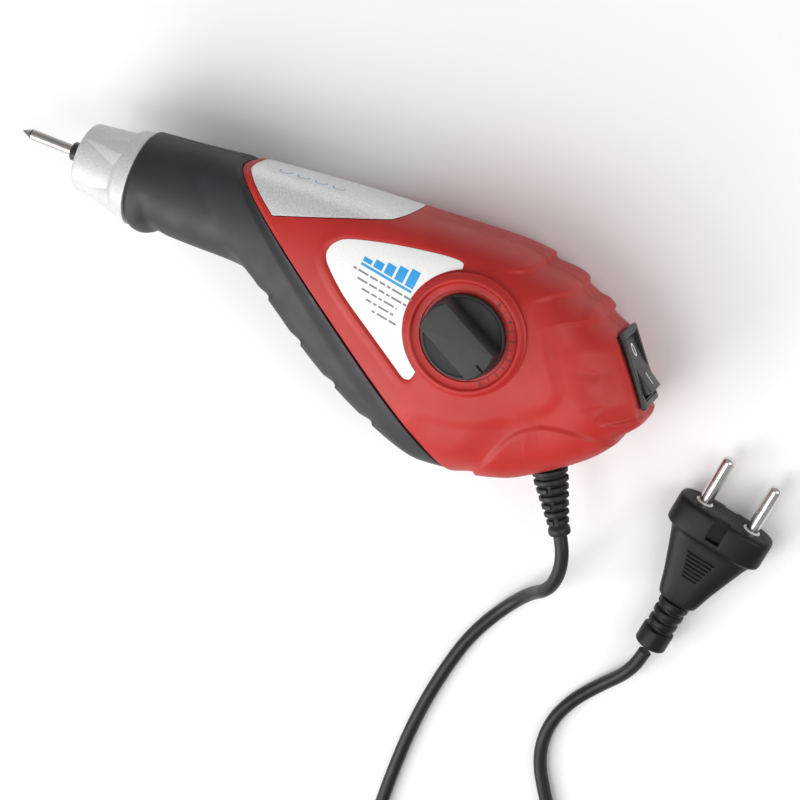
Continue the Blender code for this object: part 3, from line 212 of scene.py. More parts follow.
BRASS = metal("brass", (0.62, 0.44, 0.18), (0.74, 0.55, 0.26), 0.30)


# ---------------------------------------------------------------- stage

def linked(name, data):
    """New object in the scene."""
    item = bpy.data.objects.new(name, data)
    bpy.context.scene.collection.objects.link(item)
    return item


def axes_frame(origin, x, y, z):
    """Matrix that puts an origin and three axes in place."""
    return Matrix.Translation(Vector(origin)) @ Matrix((x, y, z)).transposed().to_4x4()


def add_camera():
    data = bpy.data.cameras.new("camera")
    data.lens = LENS_MM
    data.sensor_width = SENSOR_MM
    data.clip_end = 10.0
    camera = linked("camera", data)
    camera.matrix_world = axes_frame(CAMERA_PLACE * MM, VIEW_RIGHT, VIEW_UP, VIEW_AXIS)
    bpy.context.scene.camera = camera


def add_light(name, place, target, size, watts):
    data = bpy.data.lights.new(name, "AREA")
    data.shape = "RECTANGLE"
    data.size, data.size_y = size[0] * MM, size[1] * MM
    data.energy = watts
    light = linked(name, data)
    light.location = Vector(place) * MM
    light.rotation_euler = (Vector(target) - Vector(place)).to_track_quat("-Z", "Y").to_euler()


def add_world():
    world = bpy.data.worlds.new("studio")
    world.use_nodes = True
    background = world.node_tree.nodes["Background"]
    background.inputs["Color"].default_value = (1.0, 1.0, 1.0, 1.0)
    background.inputs["Strength"].default_value = WORLD_STRENGTH
    bpy.context.scene.world = world


def add_floor():
    mesh = bpy.data.meshes.new("floor")
    shape = bmesh.new()
    bmesh.ops.create_grid(shape, x_segments=2, y_segments=2, size=FLOOR_HALF_M)
    shape.to_mesh(mesh)
    shape.free()
    floor = linked("floor", mesh)
    floor.location.z = -FLOOR_DROP_M
    paper = material("floor_paper", (0.9, 0.9, 0.9), 0.9)
    add_bump(paper, noise(paper, 0.3, 2.0), 0.02, 0.2)
    floor.data.materials.append(paper)


def make_stage():
    bpy.context.scene.view_settings.view_transform = "Standard"
    add_camera()
    add_world()
    for light in LIGHTS:
        add_light(*light)
    add_floor()


# ---------------------------------------------------------------- curves

def catmull(points, steps):
    """Smooth curve through points, as a dense list."""
    places = [Vector(p) for p in points]
    ends = [places[0] * 2 - places[1]] + places + [places[-1] * 2 - places[-2]]
    dense = []
    for i in range(len(places) - 1):
        a, b, c, d = ends[i:i + 4]
        for k in range(steps):
            t = k / steps
            dense.append(0.5 * (2 * b + (c - a) * t + (2 * a - 5 * b + 4 * c - d) * t**2
                                + (3 * b - a - 3 * c + d) * t**3))
    dense.append(places[-1])
    return dense


def ease(t):
    t = min(max(t, 0.0), 1.0)
    return t * t * (3.0 - 2.0 * t)


def walk_route(start, heading_deg, legs):
    """Points every 2 mm or so along a route of arcs."""
    place, pitch_deg = Vector(start), 0.0
    points = [place.copy()]
    for length, turn, tilt in legs:
        count = round(length / 2.0)
        for _ in range(count):
            heading = math.radians(heading_deg + turn / count / 2)
            pitch = math.radians(pitch_deg + tilt / count / 2)
            level_part = math.cos(pitch)
            place += Vector((math.cos(heading) * level_part, math.sin(heading) * level_part,
                             math.sin(pitch))) * (length / count)
            heading_deg += turn / count
            pitch_deg += tilt / count
            points.append(place.copy())
    return points


def coil_turns():
    """Spiral in for four turns on the table, up at the middle, and out for four turns on top of it."""
    outer_r, inner_r = COIL_R + 2 * COIL_PITCH, COIL_R - 2 * COIL_PITCH
    start, end, climb_start, climb_end = 190, 3235, 1620, 1750
    low, high = COIL_LAYERS
    points = []
    for degrees in range(start, end, 10):
        radius = max(outer_r - COIL_PITCH * (degrees - 180) / 360.0, inner_r)
        if degrees > climb_end:
            radius = min(inner_r + COIL_PITCH * (degrees - climb_end) / 360.0, outer_r)
        height = low + (high - low) * ease((degrees - climb_start) / (climb_end - climb_start))
        angle = math.radians(degrees)
        points.append(Vector((COIL_X + radius * math.cos(angle), COIL_Y + radius * math.sin(angle),
                              height)))
    return points


def make_cord():
    lead = walk_route(LEAD_START, LEAD_HEADING, LEAD_LEGS)
    tail = walk_route(TAIL_START, TAIL_HEADING, TAIL_LEGS)
    inside_relief = lead[0] - EXIT_DIR * 2.0
    route = [inside_relief] + lead[::3] + coil_turns() + tail[::-3]
    curve = bpy.data.curves.new("cord", "CURVE")
    curve.dimensions = "3D"
    curve.bevel_depth = CORD_R * MM
    curve.bevel_resolution = 6
    curve.use_fill_caps = True
    dense = catmull(route, 4)
    spline = curve.splines.new("POLY")
    spline.points.add(len(dense) - 1)
    for point, place in zip(spline.points, dense):
        point.co = (*(place * MM), 1.0)
    spline.use_smooth = True
    cord = linked("cord", curve)
    curve.materials.append(SHEATH)
    length = sum((b - a).length for a, b in zip(dense, dense[1:]))
    print("cord length mm", round(length, 1))
    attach(cord, "housing")
    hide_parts("cord_lead", "cord_coil", "cord_tail")
    return cord


# ---------------------------------------------------------------- mesh helpers

def new_piece(name, mesh, look, body, slot, *stands_for, sharp_deg=35.0):
    """Object for a finished mesh: smooth with sharp edges, painted, riding on its body."""
    mesh.shade_smooth()
    mesh.set_sharp_from_angle(angle=math.radians(sharp_deg))
    piece = linked(name, mesh)
    mesh.materials.clear()
    mesh.materials.append(look)
    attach(piece, body)
    if stands_for:
        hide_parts(*stands_for)
    return piece


def mesh_from(name, points, faces):
    """Closed mesh from points in millimetres, faces turned outwards."""
    mesh = bpy.data.meshes.new(name)
    corners = [tuple(p) for p in np.asarray(points) * MM]
    mesh.from_pydata(corners, [], [tuple(int(i) for i in f) for f in faces])
    shape = bmesh.new()
    shape.from_mesh(mesh)
    bmesh.ops.recalc_face_normals(shape, faces=shape.faces)
    shape.to_mesh(mesh)
    shape.free()
    return mesh


def grid_faces(rows, columns, start=0, wrap=False):
    """Quads between the points of a grid laid out row by row."""
    faces = []
    for i in range(rows - 1):
        for j in range(columns if wrap else columns - 1):
            k = (j + 1) % columns
            a = start + i * columns
            b = a + columns
            faces.append((a + j, a + k, b + k, b + j))
    return faces


def frame_of(origin, axis):
    """Matrix in millimetres with its Z along an axis, and its X along world X or upwards."""
    ahead = Vector(axis).normalized()
    side = Vector((1.0, 0.0, 0.0)) if abs(ahead.z) > 0.9 else Vector((0.0, 0.0, 1.0))
    side = (side - ahead * side.dot(ahead)).normalized()
    return axes_frame(origin, side, ahead.cross(side), ahead)


def upright(x, y, z=0.0):
    return frame_of((x, y, z), (0, 0, 1))


def moved(points, matrix):
    array = np.array(matrix)
    return np.asarray(points, float) @ array[:3, :3].T + array[:3, 3]


def rounded(profile, radius, steps=4):
    """Profile with its corners rounded, except for the ones on the axis."""
    result = []
    count = len(profile)
    for i, corner in enumerate(profile):
        here = np.array(corner, float)
        back = np.array(profile[i - 1], float) - here
        ahead = np.array(profile[(i + 1) % count], float) - here
        reach = min(radius, 0.45 * np.linalg.norm(back), 0.45 * np.linalg.norm(ahead))
        if reach < 0.01 or here[0] < 0.001:
            result.append(tuple(here))
            continue
        start = here + back / np.linalg.norm(back) * reach
        end = here + ahead / np.linalg.norm(ahead) * reach
        for k in range(steps + 1):
            t = k / steps
            result.append(tuple((1 - t)**2 * start + 2 * t * (1 - t) * here + t**2 * end))
    return result


def lathe(name, profile, matrix, segments=96):
    """Mesh of a closed profile of (radius, height) points turned about Z."""
    points, rings = [], []
    for radius, height in profile:
        if radius < 0.001:
            rings.append([len(points)] * segments)
            points.append((0.0, 0.0, height))
            continue
        rings.append(list(range(len(points), len(points) + segments)))
        for k in range(segments):
            angle = 2 * math.pi * k / segments
            points.append((radius * math.cos(angle), radius * math.sin(angle), height))
    faces = []
    closed = profile[0][0] > 0.001 or profile[-1][0] > 0.001
    pairs = list(zip(rings, rings[1:])) + ([(rings[-1], rings[0])] if closed else [])
    for first, second in pairs:
        for k in range(segments):
            j = (k + 1) % segments
            loop = [first[k], first[j], second[j], second[k]]
            unique = list(dict.fromkeys(loop))
            if len(unique) > 2:
                faces.append(unique)
    return mesh_from(name, moved(points, matrix), faces)


def block_mesh(name, low, high, matrix):
    """Box between two corners."""
    points = [(x, y, z) for x in (low[0], high[0]) for y in (low[1], high[1]) for z in (low[2], high[2])]
    faces = [(0, 1, 3, 2), (4, 6, 7, 5), (0, 4, 5, 1), (2, 3, 7, 6), (0, 2, 6, 4), (1, 5, 7, 3)]
    return mesh_from(name, moved(points, matrix), faces)


def between_ends(name, points, matrix):
    """Closed mesh of points that hold one end's outline, then the other's."""
    count = len(points) // 2
    faces = [list(range(count)), list(range(count, 2 * count))]
    faces += [(i, (i + 1) % count, count + (i + 1) % count, count + i) for i in range(count)]
    return mesh_from(name, points if matrix is None else moved(points, matrix), faces)


def prism(name, outline, low, high, matrix=None):
    """Closed mesh of an XY outline between two heights."""
    return between_ends(name, [(x, y, z) for z in (low, high) for x, y in outline], matrix)


def carve(mesh, *steps):
    """Applies Booleans, given as (operation, mesh), and returns the finished mesh."""
    item = linked(mesh.name, mesh)
    tools = []
    for operation, tool_mesh in steps:
        tool = linked("tool", tool_mesh)
        tools.append(tool)
        step = item.modifiers.new("step", "BOOLEAN")
        step.object = tool
        step.operation = operation
    result = finished(item)
    for tool in tools:
        bpy.data.objects.remove(tool, do_unlink=True)
    return result


def finished(item):
    """Mesh of an object with its modifiers applied. The object is removed."""
    bpy.context.view_layer.update()
    evaluated = item.evaluated_get(bpy.context.evaluated_depsgraph_get())
    mesh = bpy.data.meshes.new_from_object(evaluated)
    bpy.data.objects.remove(item, do_unlink=True)
    return mesh


def soften(mesh, width, segments, angle_deg):
    """Rounds the edges that are sharper than an angle."""
    item = linked(mesh.name, mesh)
    step = item.modifiers.new("edges", "BEVEL")
    step.width = width * MM
    step.segments = segments
    step.limit_method = "ANGLE"
    step.angle_limit = math.radians(angle_deg)
    return finished(item)


def tree_of(mesh):
    return BVHTree.FromPolygons([v.co.copy() for v in mesh.vertices],
                                [tuple(p.vertices) for p in mesh.polygons])


# ---------------------------------------------------------------- body skin

TOP_OUTLINE = [(-74.0, 30.1), (-60.0, 32.4), (-38.0, 36.0), (-20.0, 37.7), (0.0, 39.2), (25.0, 40.5),
               (50.0, 42.0), (64.0, 42.4), (76.0, 41.2), (87.0, 38.2), (97.0, 33.8), (106.0, 29.4)]
BELLY_OUTLINE = [(-74.0, -1.3), (-50.0, -1.2), (-28.0, -1.0), (-19.0, -3.6), (-10.0, -9.0), (3.0, -18.0),
                 (18.0, -28.0), (34.0, -35.8), (50.0, -41.3), (60.0, -42.4), (69.0, -41.2), (84.0, -36.4),
                 (94.0, -31.0), (112.0, -17.0), (121.0, -5.5), (124.9, 1.0), (124.4, 4.4)]
TOP_JOIN, BELLY_JOIN = 2, 10    # outline points where the overmould ends
HALF_THICKNESS = [(0.0, 15.7), (0.3, 16.3), (0.5, 18.0), (0.75, 21.2), (1.0, 24.3), (1.25, 26.0),
                  (1.5, 26.0), (1.74, 24.6), (1.84, 22.0), (2.0, 13.8)]
ROUNDNESS = [(0.0, 2.0), (0.5, 2.3), (1.0, 2.9), (1.3, 3.6), (1.6, 4.0), (2.0, 4.0)]
SEAM = 0.15                     # half of the gap between the two shells
WALL = 2.2
BOSS_DEPTH = 2.7                # where the screw bosses end, below the skin
NECK_R = 12.8
NECK_LENGTH = 7.0
GRIP_T = 2.0
GRIP_DEPTH = 2.3
PANEL_T = 1.2
PANEL_DEPTH = 1.5
PANEL_END = math.radians(58.0)  # how far round from the back the panel reaches
DIAL_X, DIAL_Y = 60.6, 12.6
DIAL_SEAT_Z = 54.6


def table_values(table, x):
    """Smooth curve through a table of (x, value) points, for an array."""
    xs, ys = np.array([p[0] for p in table]), np.array([p[1] for p in table])
    slopes = np.empty(len(xs))
    slopes[1:-1] = (ys[2:] - ys[:-2]) / (xs[2:] - xs[:-2])
    slopes[0], slopes[-1] = (ys[1] - ys[0]) / (xs[1] - xs[0]), (ys[-1] - ys[-2]) / (xs[-1] - xs[-2])
    x = np.clip(x, xs[0], xs[-1])
    i = np.clip(np.searchsorted(xs, x, side="right") - 1, 0, len(xs) - 2)
    width = xs[i + 1] - xs[i]
    t = (x - xs[i]) / width
    return ((2 * t**3 - 3 * t**2 + 1) * ys[i] + (t**3 - 2 * t**2 + t) * width * slopes[i]
            + (3 * t**2 - 2 * t**3) * ys[i + 1] + (t**3 - t**2) * width * slopes[i + 1])


def even_line(points):
    """How far along a dense line each of its points is, from 0 to 1, and the points."""
    line = np.array([(p.x, p.y) for p in points])
    along = np.concatenate([[0.0], np.cumsum(np.linalg.norm(np.diff(line, axis=0), axis=1))])
    return along / along[-1], line


class Edge:
    """One long edge of the body's side view, read by station from 0 (ring) to 2 (rear face)."""

    def __init__(self, points, join):
        dense = catmull([(x, y, 0.0) for x, y in points], 24)
        self.front = even_line(dense[:join * 24 + 1])
        self.rear = even_line(dense[join * 24:])

    def at(self, station):
        front_t, rear_t = np.clip(station, 0.0, 1.0), np.clip(station - 1.0, 0.0, 1.0)
        result = []
        for axis in (0, 1):
            front = np.interp(front_t, self.front[0], self.front[1][:, axis])
            rear = np.interp(rear_t, self.rear[0], self.rear[1][:, axis])
            result.append(np.where(station <= 1.0, front, rear))
        result[0] = result[0] + np.minimum(station, 0.0) * NECK_LENGTH
        return result


TOP, BELLY = Edge(TOP_OUTLINE, TOP_JOIN), Edge(BELLY_OUTLINE, BELLY_JOIN)


def raw_skin(station, angle):
    """Points of a half's outer surface above the seam plane, for arrays of stations and angles."""
    top, belly = TOP.at(station), BELLY.at(station)
    power = 2.0 / table_values(ROUNDNESS, station)
    cosine, sine = np.cos(angle), np.maximum(np.sin(angle), 0.0)
    across = np.copysign(np.abs(cosine) ** power, cosine)
    x = (top[0] + belly[0]) / 2 + (top[0] - belly[0]) / 2 * across
    y = (top[1] + belly[1]) / 2 + (top[1] - belly[1]) / 2 * across
    return np.stack([x, y, table_values(HALF_THICKNESS, station) * sine ** power], axis=-1)


def skin_grid(stations, angles, depth_of, side):
    """Grid of skin points, a depth below the surface: depth_of(x, y, station, angle)."""
    station, angle = np.meshgrid(np.array(stations, float), np.array(angles, float), indexing="ij")
    safe = np.clip(angle, 0.06, math.pi - 0.06)
    along = (raw_skin(np.minimum(station + 0.004, 2.0), safe)
             - raw_skin(np.maximum(station - 0.004, -1.0), safe))
    across = raw_skin(station, safe + 0.01) - raw_skin(station, safe - 0.01)
    normal = np.cross(across, along)
    normal /= np.linalg.norm(normal, axis=-1, keepdims=True)
    normal *= np.where(normal[..., 2:3] < 0.0, -1.0, 1.0)
    flat = (angle < 0.03) | (angle > math.pi - 0.03)
    normal[..., 2] = np.where(flat, 0.0, normal[..., 2])
    normal /= np.linalg.norm(normal, axis=-1, keepdims=True)
    spot = raw_skin(station, angle)
    depth = depth_of(spot[..., 0], spot[..., 1], station, angle)
    spot = spot - normal * depth[..., None]
    spot[..., 2] = SPLIT_Z + side * (SEAM + np.maximum(spot[..., 2], 0.0))
    return spot


def solid_from_grid(name, grid):
    """Closed half body: the grid, its two ends and its flat seam face."""
    rows, columns = grid.shape[:2]
    faces = grid_faces(rows, columns)
    faces.append(list(range(columns)))
    faces.append(list(range((rows - 1) * columns, rows * columns)))
    faces.append([i * columns for i in range(rows)]
                 + [i * columns + columns - 1 for i in reversed(range(rows))])
    mesh = mesh_from(name, grid.reshape(-1, 3), faces)
    shape = bmesh.new()
    shape.from_mesh(mesh)
    bmesh.ops.triangulate(shape, faces=[f for f in shape.faces if len(f.verts) > 4])
    bmesh.ops.recalc_face_normals(shape, faces=shape.faces)
    shape.to_mesh(mesh)
    shape.free()
    return mesh


def shell_from_grids(name, outer, inner):
    """Closed shell between two grids of the same size."""
    rows, columns = outer.shape[:2]
    count = rows * columns
    rim = ([i * columns for i in range(rows)] + [(rows - 1) * columns + j for j in range(1, columns)]
           + [i * columns + columns - 1 for i in range(rows - 2, -1, -1)] + list(range(columns - 2, 0, -1)))
    faces = grid_faces(rows, columns) + grid_faces(rows, columns, count)
    for a, b in zip(rim, rim[1:] + rim[:1]):
        faces.append((a, b, b + count, a + count))
    return mesh_from(name, np.concatenate([outer.reshape(-1, 3), inner.reshape(-1, 3)]), faces)


def level(value):
    """Depth that is the same all over."""
    return lambda x, y, station, angle: np.full(x.shape, value)


def smooth_step(value):
    t = np.clip(value, 0.0, 1.0)
    return t * t * (3.0 - 2.0 * t)


def smooth_line(points):
    return [(p.x, p.y) for p in catmull([(x, y, 0.0) for x, y in points], 5)]


def line_distance(x, y, line):
    """Signed distance to a polyline, positive to its right, and how far along it the nearest point is."""
    best = np.full(x.shape, 1e9)
    signed, part = np.zeros(x.shape), np.zeros(x.shape)
    lengths = [math.dist(a, b) for a, b in zip(line, line[1:])]
    done, total = 0.0, sum(lengths)
    for (x0, y0), (x1, y1), length in zip(line, line[1:], lengths):
        dx, dy = (x1 - x0) / length, (y1 - y0) / length
        t = np.clip((x - x0) * dx + (y - y0) * dy, 0.0, length)
        gap = np.hypot(x - x0 - t * dx, y - y0 - t * dy)
        side = np.where((x - x0) * dy - (y - y0) * dx >= 0.0, 1.0, -1.0)
        closer = gap < best
        best = np.where(closer, gap, best)
        signed = np.where(closer, gap * side, signed)
        part = np.where(closer, (done + t) / total, part)
        done += length
    return signed, part


def outline_distance(x, y, outline):
    """Signed distance to a closed outline, negative inside."""
    ring = outline + outline[:1]
    gap = np.abs(line_distance(x, y, ring)[0])
    inside = np.zeros(x.shape, bool)
    for (x0, y0), (x1, y1) in zip(ring, ring[1:]):
        if y0 != y1:
            crosses = ((y0 > y) != (y1 > y)) & (x < (x1 - x0) * (y - y0) / (y1 - y0) + x0)
            inside ^= crosses
    return np.where(inside, -gap, gap)


# ---------------------------------------------------------------- fine body

FINE = 1.0
# Creases of the back and short edges of the flank, each (line, drop, length of the climb back)
CREASES = [([(74.6, 46.0), (73.6, 41.4), (72.1, 40.4), (69.0, 39.1), (63.0, 37.6)], 1.7, 12.0),
           ([(95.0, 39.2), (88.6, 37.6), (85.7, 37.0), (82.1, 34.8), (78.5, 32.8), (74.0, 31.2)],
            1.8, 12.0),
           ([(108.0, 34.6), (100.3, 32.2), (96.5, 31.1), (90.7, 28.6), (86.7, 25.7), (82.0, 24.0)],
            1.8, 10.0)]
LOBE_EDGE = [(77.0, -37.0), (81.0, -29.6), (84.0, -22.0), (88.0, -14.7), (94.0, -9.9), (98.3, -8.4),
             (105.8, -7.5), (115.6, -7.8), (122.0, -9.5)]
REAR_EDGE = [(108.6, -1.4), (111.0, -3.2), (119.8, 0.6), (123.0, 2.4), (129.0, 5.0)]
BOSS_EDGE = [(83.0, 24.0), (86.5, 18.0), (90.2, 12.0), (93.6, 7.0), (94.2, 3.0), (91.4, -1.3),
             (84.0, -5.0)]
SHORT_EDGES = [([(107.5, 16.9), (103.0, 16.6), (96.5, 15.6)], 0.45, 4.0),
               ([(112.0, 7.0), (106.0, 3.4), (100.3, 1.1), (95.0, 0.2)], 0.35, 4.5)]
FLANK_EDGE = [(48.0, -18.6), (60.0, -17.6), (72.0, -14.0), (86.4, -6.6), (92.0, -5.4)]
FINGER_NOTCHES = [((-13.6, -7.6), (-9.0, -0.4)), ((2.4, -18.8), (6.8, -11.4)),
                  ((18.6, -28.6), (23.0, -21.0)), ((35.0, -36.8), (39.6, -29.6))]


def even_angles(count):
    """Angles from back to belly that are evenly spaced round a typical section."""
    dense = np.linspace(0.0, 1.0, 4001)
    dense = math.pi * (1.0 - np.cos(math.pi * dense)) / 2.0
    cosine, sine = np.cos(dense), np.maximum(np.sin(dense), 0.0)
    x, z = 38.0 * np.copysign(np.abs(cosine) ** 0.6, cosine), 25.0 * sine ** 0.6
    along = np.concatenate([[0.0], np.cumsum(np.hypot(np.diff(x), np.diff(z)))])
    return np.interp(np.linspace(0.0, along[-1], count), along, dense)


def shingle(distance, drop, recover, edge=0.9):
    """Depth just beyond an edge: a quick drop and a slow climb back."""
    fall = smooth_step(distance / edge)
    climb = 1.0 - smooth_step((distance - edge) / recover)
    return drop * fall * climb


def crease_depth(x, y):
    depth = np.zeros(x.shape)
    for line, drop, recover in CREASES + SHORT_EDGES:
        signed, part = line_distance(x, y, smooth_line(line))
        fade = smooth_step((1.0 - part) / 0.75) * smooth_step((part + 0.04) / 0.16)
        depth = np.maximum(depth, shingle(-signed, drop, recover, 1.2) * fade)
    return depth


def relief_depth(x, y):
    """Creases, lobes and soft steps of the red rear, from its side view."""
    depth = crease_depth(x, y)
    signed, part = line_distance(x, y, smooth_line(LOBE_EDGE))
    fade = 0.62 + 0.38 * np.abs(2.0 * part - 1.0)
    depth = np.maximum(depth, shingle(-signed, 1.2, 11.0, 2.0) * fade)
    signed, part = line_distance(x, y, smooth_line(REAR_EDGE))
    depth = np.maximum(depth, shingle(-signed, 1.0, 7.5, 1.8) * smooth_step(part / 0.4))
    signed, part = line_distance(x, y, smooth_line(BOSS_EDGE))
    ends = smooth_step(part / 0.25) * smooth_step((1.0 - part) / 0.25)
    depth = depth + shingle(-signed, 0.8, 14.0, 5.0) * ends
    signed, part = line_distance(x, y, smooth_line(FLANK_EDGE))
    ends = smooth_step(part / 0.2) * smooth_step((1.0 - part) / 0.3)
    return depth + shingle(signed, 0.6, 16.0, 5.0) * ends


def label_recess(x, y):
    gap = outline_distance(x, y, label_outline())
    inside = 0.40 * (1.0 - smooth_step((gap - 0.2) / 0.7))
    bead = -0.34 * smooth_step((gap - 0.5) / 0.8) * (1.0 - smooth_step((gap - 2.2) / 2.4))
    near_dial = np.hypot(x - DIAL_X, y - DIAL_Y)
    return inside + bead * smooth_step((near_dial - 25.0) / 5.0) * (1.0 - smooth_step((y - 24.0) / 6.0))


def outer_depth(side):
    """Depth of the housing's outer face below the skin."""
    def depth(x, y, station, angle):
        neck = station < 0.0
        bed = station < 0.9925
        rim = 1.0 * (1.0 - smooth_step((station - 1.0) / (0.006 + 0.010 * (angle < 1.2))))
        body = rim + relief_depth(x, y)
        if side > 0:
            body = body + label_recess(x, y)
        return np.where(neck, HALF_THICKNESS[0][1] - NECK_R, np.where(bed, GRIP_DEPTH, body))
    return depth


def inner_depth(x, y, station, angle):
    blend = np.clip((station - 0.85) / 0.3, 0.0, 1.0)
    return np.where(station < 0.0, HALF_THICKNESS[0][1] - NECK_R + WALL,
                    WALL + GRIP_DEPTH * (1.0 - blend) + 0.9)


def joined(name, meshes):
    """One mesh of several, which don't touch each other."""
    shape = bmesh.new()
    for mesh in meshes:
        shape.from_mesh(mesh)
    result = bpy.data.meshes.new(name)
    shape.to_mesh(result)
    shape.free()
    return result


def panel_outline(spread):
    """Side view of the metal panel, larger by spread."""
    return [(-40.0 - spread, 60.0), (-33.6 - spread, 35.5), (-18.6 - spread * 0.7, 26.1 - spread * 0.6),
            (-17.9, 25.7 - spread), (-17.0, 25.9 - spread), (7.0, 34.0 - spread), (22.0, 38.6 - spread),
            (28.0 + spread, 42.0), (32.0 + spread, 60.0)]


def panel_shell(name, outer, inner, spread):
    """Shell of the skin over the back, both sides of the seam, trimmed to the panel's side view."""
    stations = np.linspace(0.93, 1.5, int(110 * FINE))
    angles = even_angles(int(220 * FINE))
    angles = angles[angles < PANEL_END]
    layers = []
    for depth in (outer, inner):
        above = skin_grid(stations, angles[1:], level(depth), 1)
        below = skin_grid(stations, angles[1:], level(depth), -1)
        ridge = skin_grid(stations, angles[:1], level(depth), 1)
        ridge[..., 2] = SPLIT_Z
        layers.append(np.concatenate([above[:, ::-1], ridge, below], axis=1))
    shell = shell_from_grids(name, *layers)
    return carve(shell, ("INTERSECT", prism("trim", panel_outline(spread), -10.0, 70.0)))


def label_outline():
    """Boomerang field that wraps the dial ring."""
    ring = [(DIAL_X + 22.3 * math.cos(math.radians(a)), DIAL_Y + 22.3 * math.sin(math.radians(a)))
            for a in np.linspace(112.0, 236.0, 40)]
    rest = [(47.2, -8.9), (45.9, -9.7), (44.0, -9.4), (39.0, -6.0), (27.7, 1.6), (16.5, 9.2), (9.2, 15.6),
            (6.0, 19.4), (5.6, 22.6), (7.4, 25.8), (12.0, 28.6), (26.3, 32.2), (43.1, 34.9), (51.0, 35.2)]
    flank = catmull([(x, y, 0.0) for x, y in ring[-2:] + rest + ring[:1]], 6)
    return ring + [(p.x, p.y) for p in flank[8:-1]]


def face_frame():
    """Frame on the rear face: X along it towards the belly, Y down, Z pointing out."""
    top, belly = Vector((*TOP_OUTLINE[-1], 0.0)), Vector((*BELLY_OUTLINE[-1], 0.0))
    along = (belly - top).normalized()
    out = Vector((-along.y, along.x, 0.0))
    return axes_frame((top + belly) / 2 + Vector((0.0, 0.0, SPLIT_Z)), along, out.cross(along), out)


EXIT_POINT = Vector((98.2, -28.2, SPLIT_Z))
NEEDLE_Y = 14.4
HOUSING_SCREWS = [(38.0, 33.4), (4.5, -8.0), (62.0, 34.6), (62.0, -31.5), (110.6, -9.4)]


def rod_mesh(start, end, radius, segments=48):
    start, end = Vector(start), Vector(end)
    matrix = frame_of(start, end - start)
    length = (end - start).length
    return lathe("rod", [(0.0, 0.0), (radius, 0.0), (radius, length), (0.0, length)], matrix, segments)


def common_cuts():
    window = block_mesh("window", (-12.6, -9.35, -6.0), (12.6, 9.35, 4.0), face_frame())
    exit_hole = rod_mesh(EXIT_POINT - EXIT_DIR * 9.0, EXIT_POINT + EXIT_DIR * 6.0, 5.1)
    guide = rod_mesh((-90.0, NEEDLE_Y, SPLIT_Z), (-50.0, NEEDLE_Y, SPLIT_Z), 6.8)
    return [window, exit_hole, guide]


def half_shell(name, side):
    rear = np.concatenate([np.linspace(1.0, 1.03, int(14 * FINE) + 3),
                           np.linspace(1.036, 2.0, int(250 * FINE))])
    stations = np.concatenate([[-1.0, -0.02], np.linspace(0.0, 0.985, 24), [0.992], rear])
    angles = even_angles(int(190 * FINE))
    outer = solid_from_grid(name, skin_grid(stations, angles, outer_depth(side), side))
    inner_grid = skin_grid(np.linspace(-1.2, 1.972, 60), even_angles(60), inner_depth, side)
    inner_grid[:, (0, -1), 2] = SPLIT_Z - side * 1.0
    inner = solid_from_grid("inside", inner_grid)
    return carve(outer, ("DIFFERENCE", inner))


def wall_trim(side):
    """Solid whose face runs inside the wall, for what stands on the wall's inside."""
    grid = skin_grid(np.linspace(-1.2, 1.98, 60), even_angles(60), level(BOSS_DEPTH), side)
    return solid_from_grid("trim", grid)


def ring_profile():
    """Section of the dial ring: floor round the knob, sunk scale, rolled rim and a fillet to the skin."""
    return [(4.5, 54.25), (15.7, 54.25), (15.9, 54.9), (18.0, 55.0), (18.3, 55.15), (18.6, 55.6),
            (18.95, 55.85), (19.4, 55.9), (19.9, 55.72), (20.3, 55.3), (20.6, 54.8), (21.0, 54.42),
            (21.5, 54.15), (21.6, 53.6), (20.4, 47.0), (17.9, 47.0), (17.9, 51.2), (4.5, 51.2)]


def make_housing_upper():
    shell = half_shell("upper_shell", 1)
    dial = upright(DIAL_X, DIAL_Y)
    ring = lathe("ring", ring_profile(), dial, int(160 * FINE))
    well = lathe("well", [(0.0, 50.0), (3.6, 50.0), (3.6, 54.25), (15.7, 54.25), (15.9, 54.9), (18.0, 55.0),
                          (18.3, 55.15), (18.3, 62.0), (0.0, 62.0)], dial, int(160 * FINE))
    bed = panel_shell("bed", -4.0, PANEL_DEPTH, 0.35)
    shell = carve(shell, ("UNION", ring), ("DIFFERENCE", well),
                  ("DIFFERENCE", joined("cuts", common_cuts() + [bed])))
    return new_piece("upper_shell", shell, RED, "housing", "red_plastic", "housing_upper", sharp_deg=38.0)


def make_housing_lower():
    shell = half_shell("lower_shell", -1)
    lands, sinks, bosses = [], [], []
    for x, y, radius in ((DIAL_X, DIAL_Y, 19.3), (24.0, 8.0, 8.0)):
        lands.append(lathe("land", [(radius - 0.6, 5.0), (radius + 0.9, 5.0), (radius + 0.5, 0.9),
                                    (radius + 0.1, 0.25), (radius - 0.5, 0.0), (radius - 2.8, 0.0),
                                    (radius - 3.3, 0.3), (radius - 3.6, 1.0), (radius - 3.8, 5.0)],
                           upright(x, y), 96))
    for x, y in HOUSING_SCREWS:
        sinks.append(lathe("sink", [(0.0, -5.0), (3.9, -5.0), (3.9, 1.9), (3.4, 2.5), (3.4, 16.0),
                                    (0.0, 16.0)], upright(x, y), 40))
        bosses.append(lathe("boss", [(1.9, 26.0), (4.1, 26.0), (4.1, 0.0), (1.9, 0.0)],
                            upright(x, y), 40))
    bed = panel_shell("bed", -4.0, PANEL_DEPTH, 0.35)
    bosses = carve(joined("bosses", bosses), ("INTERSECT", wall_trim(-1)))
    shell = carve(shell, ("UNION", joined("lands", lands)), ("UNION", bosses),
                  ("DIFFERENCE", joined("sinks", sinks)),
                  ("DIFFERENCE", joined("cuts", common_cuts() + [bed])))
    return new_piece("lower_shell", shell, RED, "housing", "red_plastic", "housing_lower", sharp_deg=38.0)


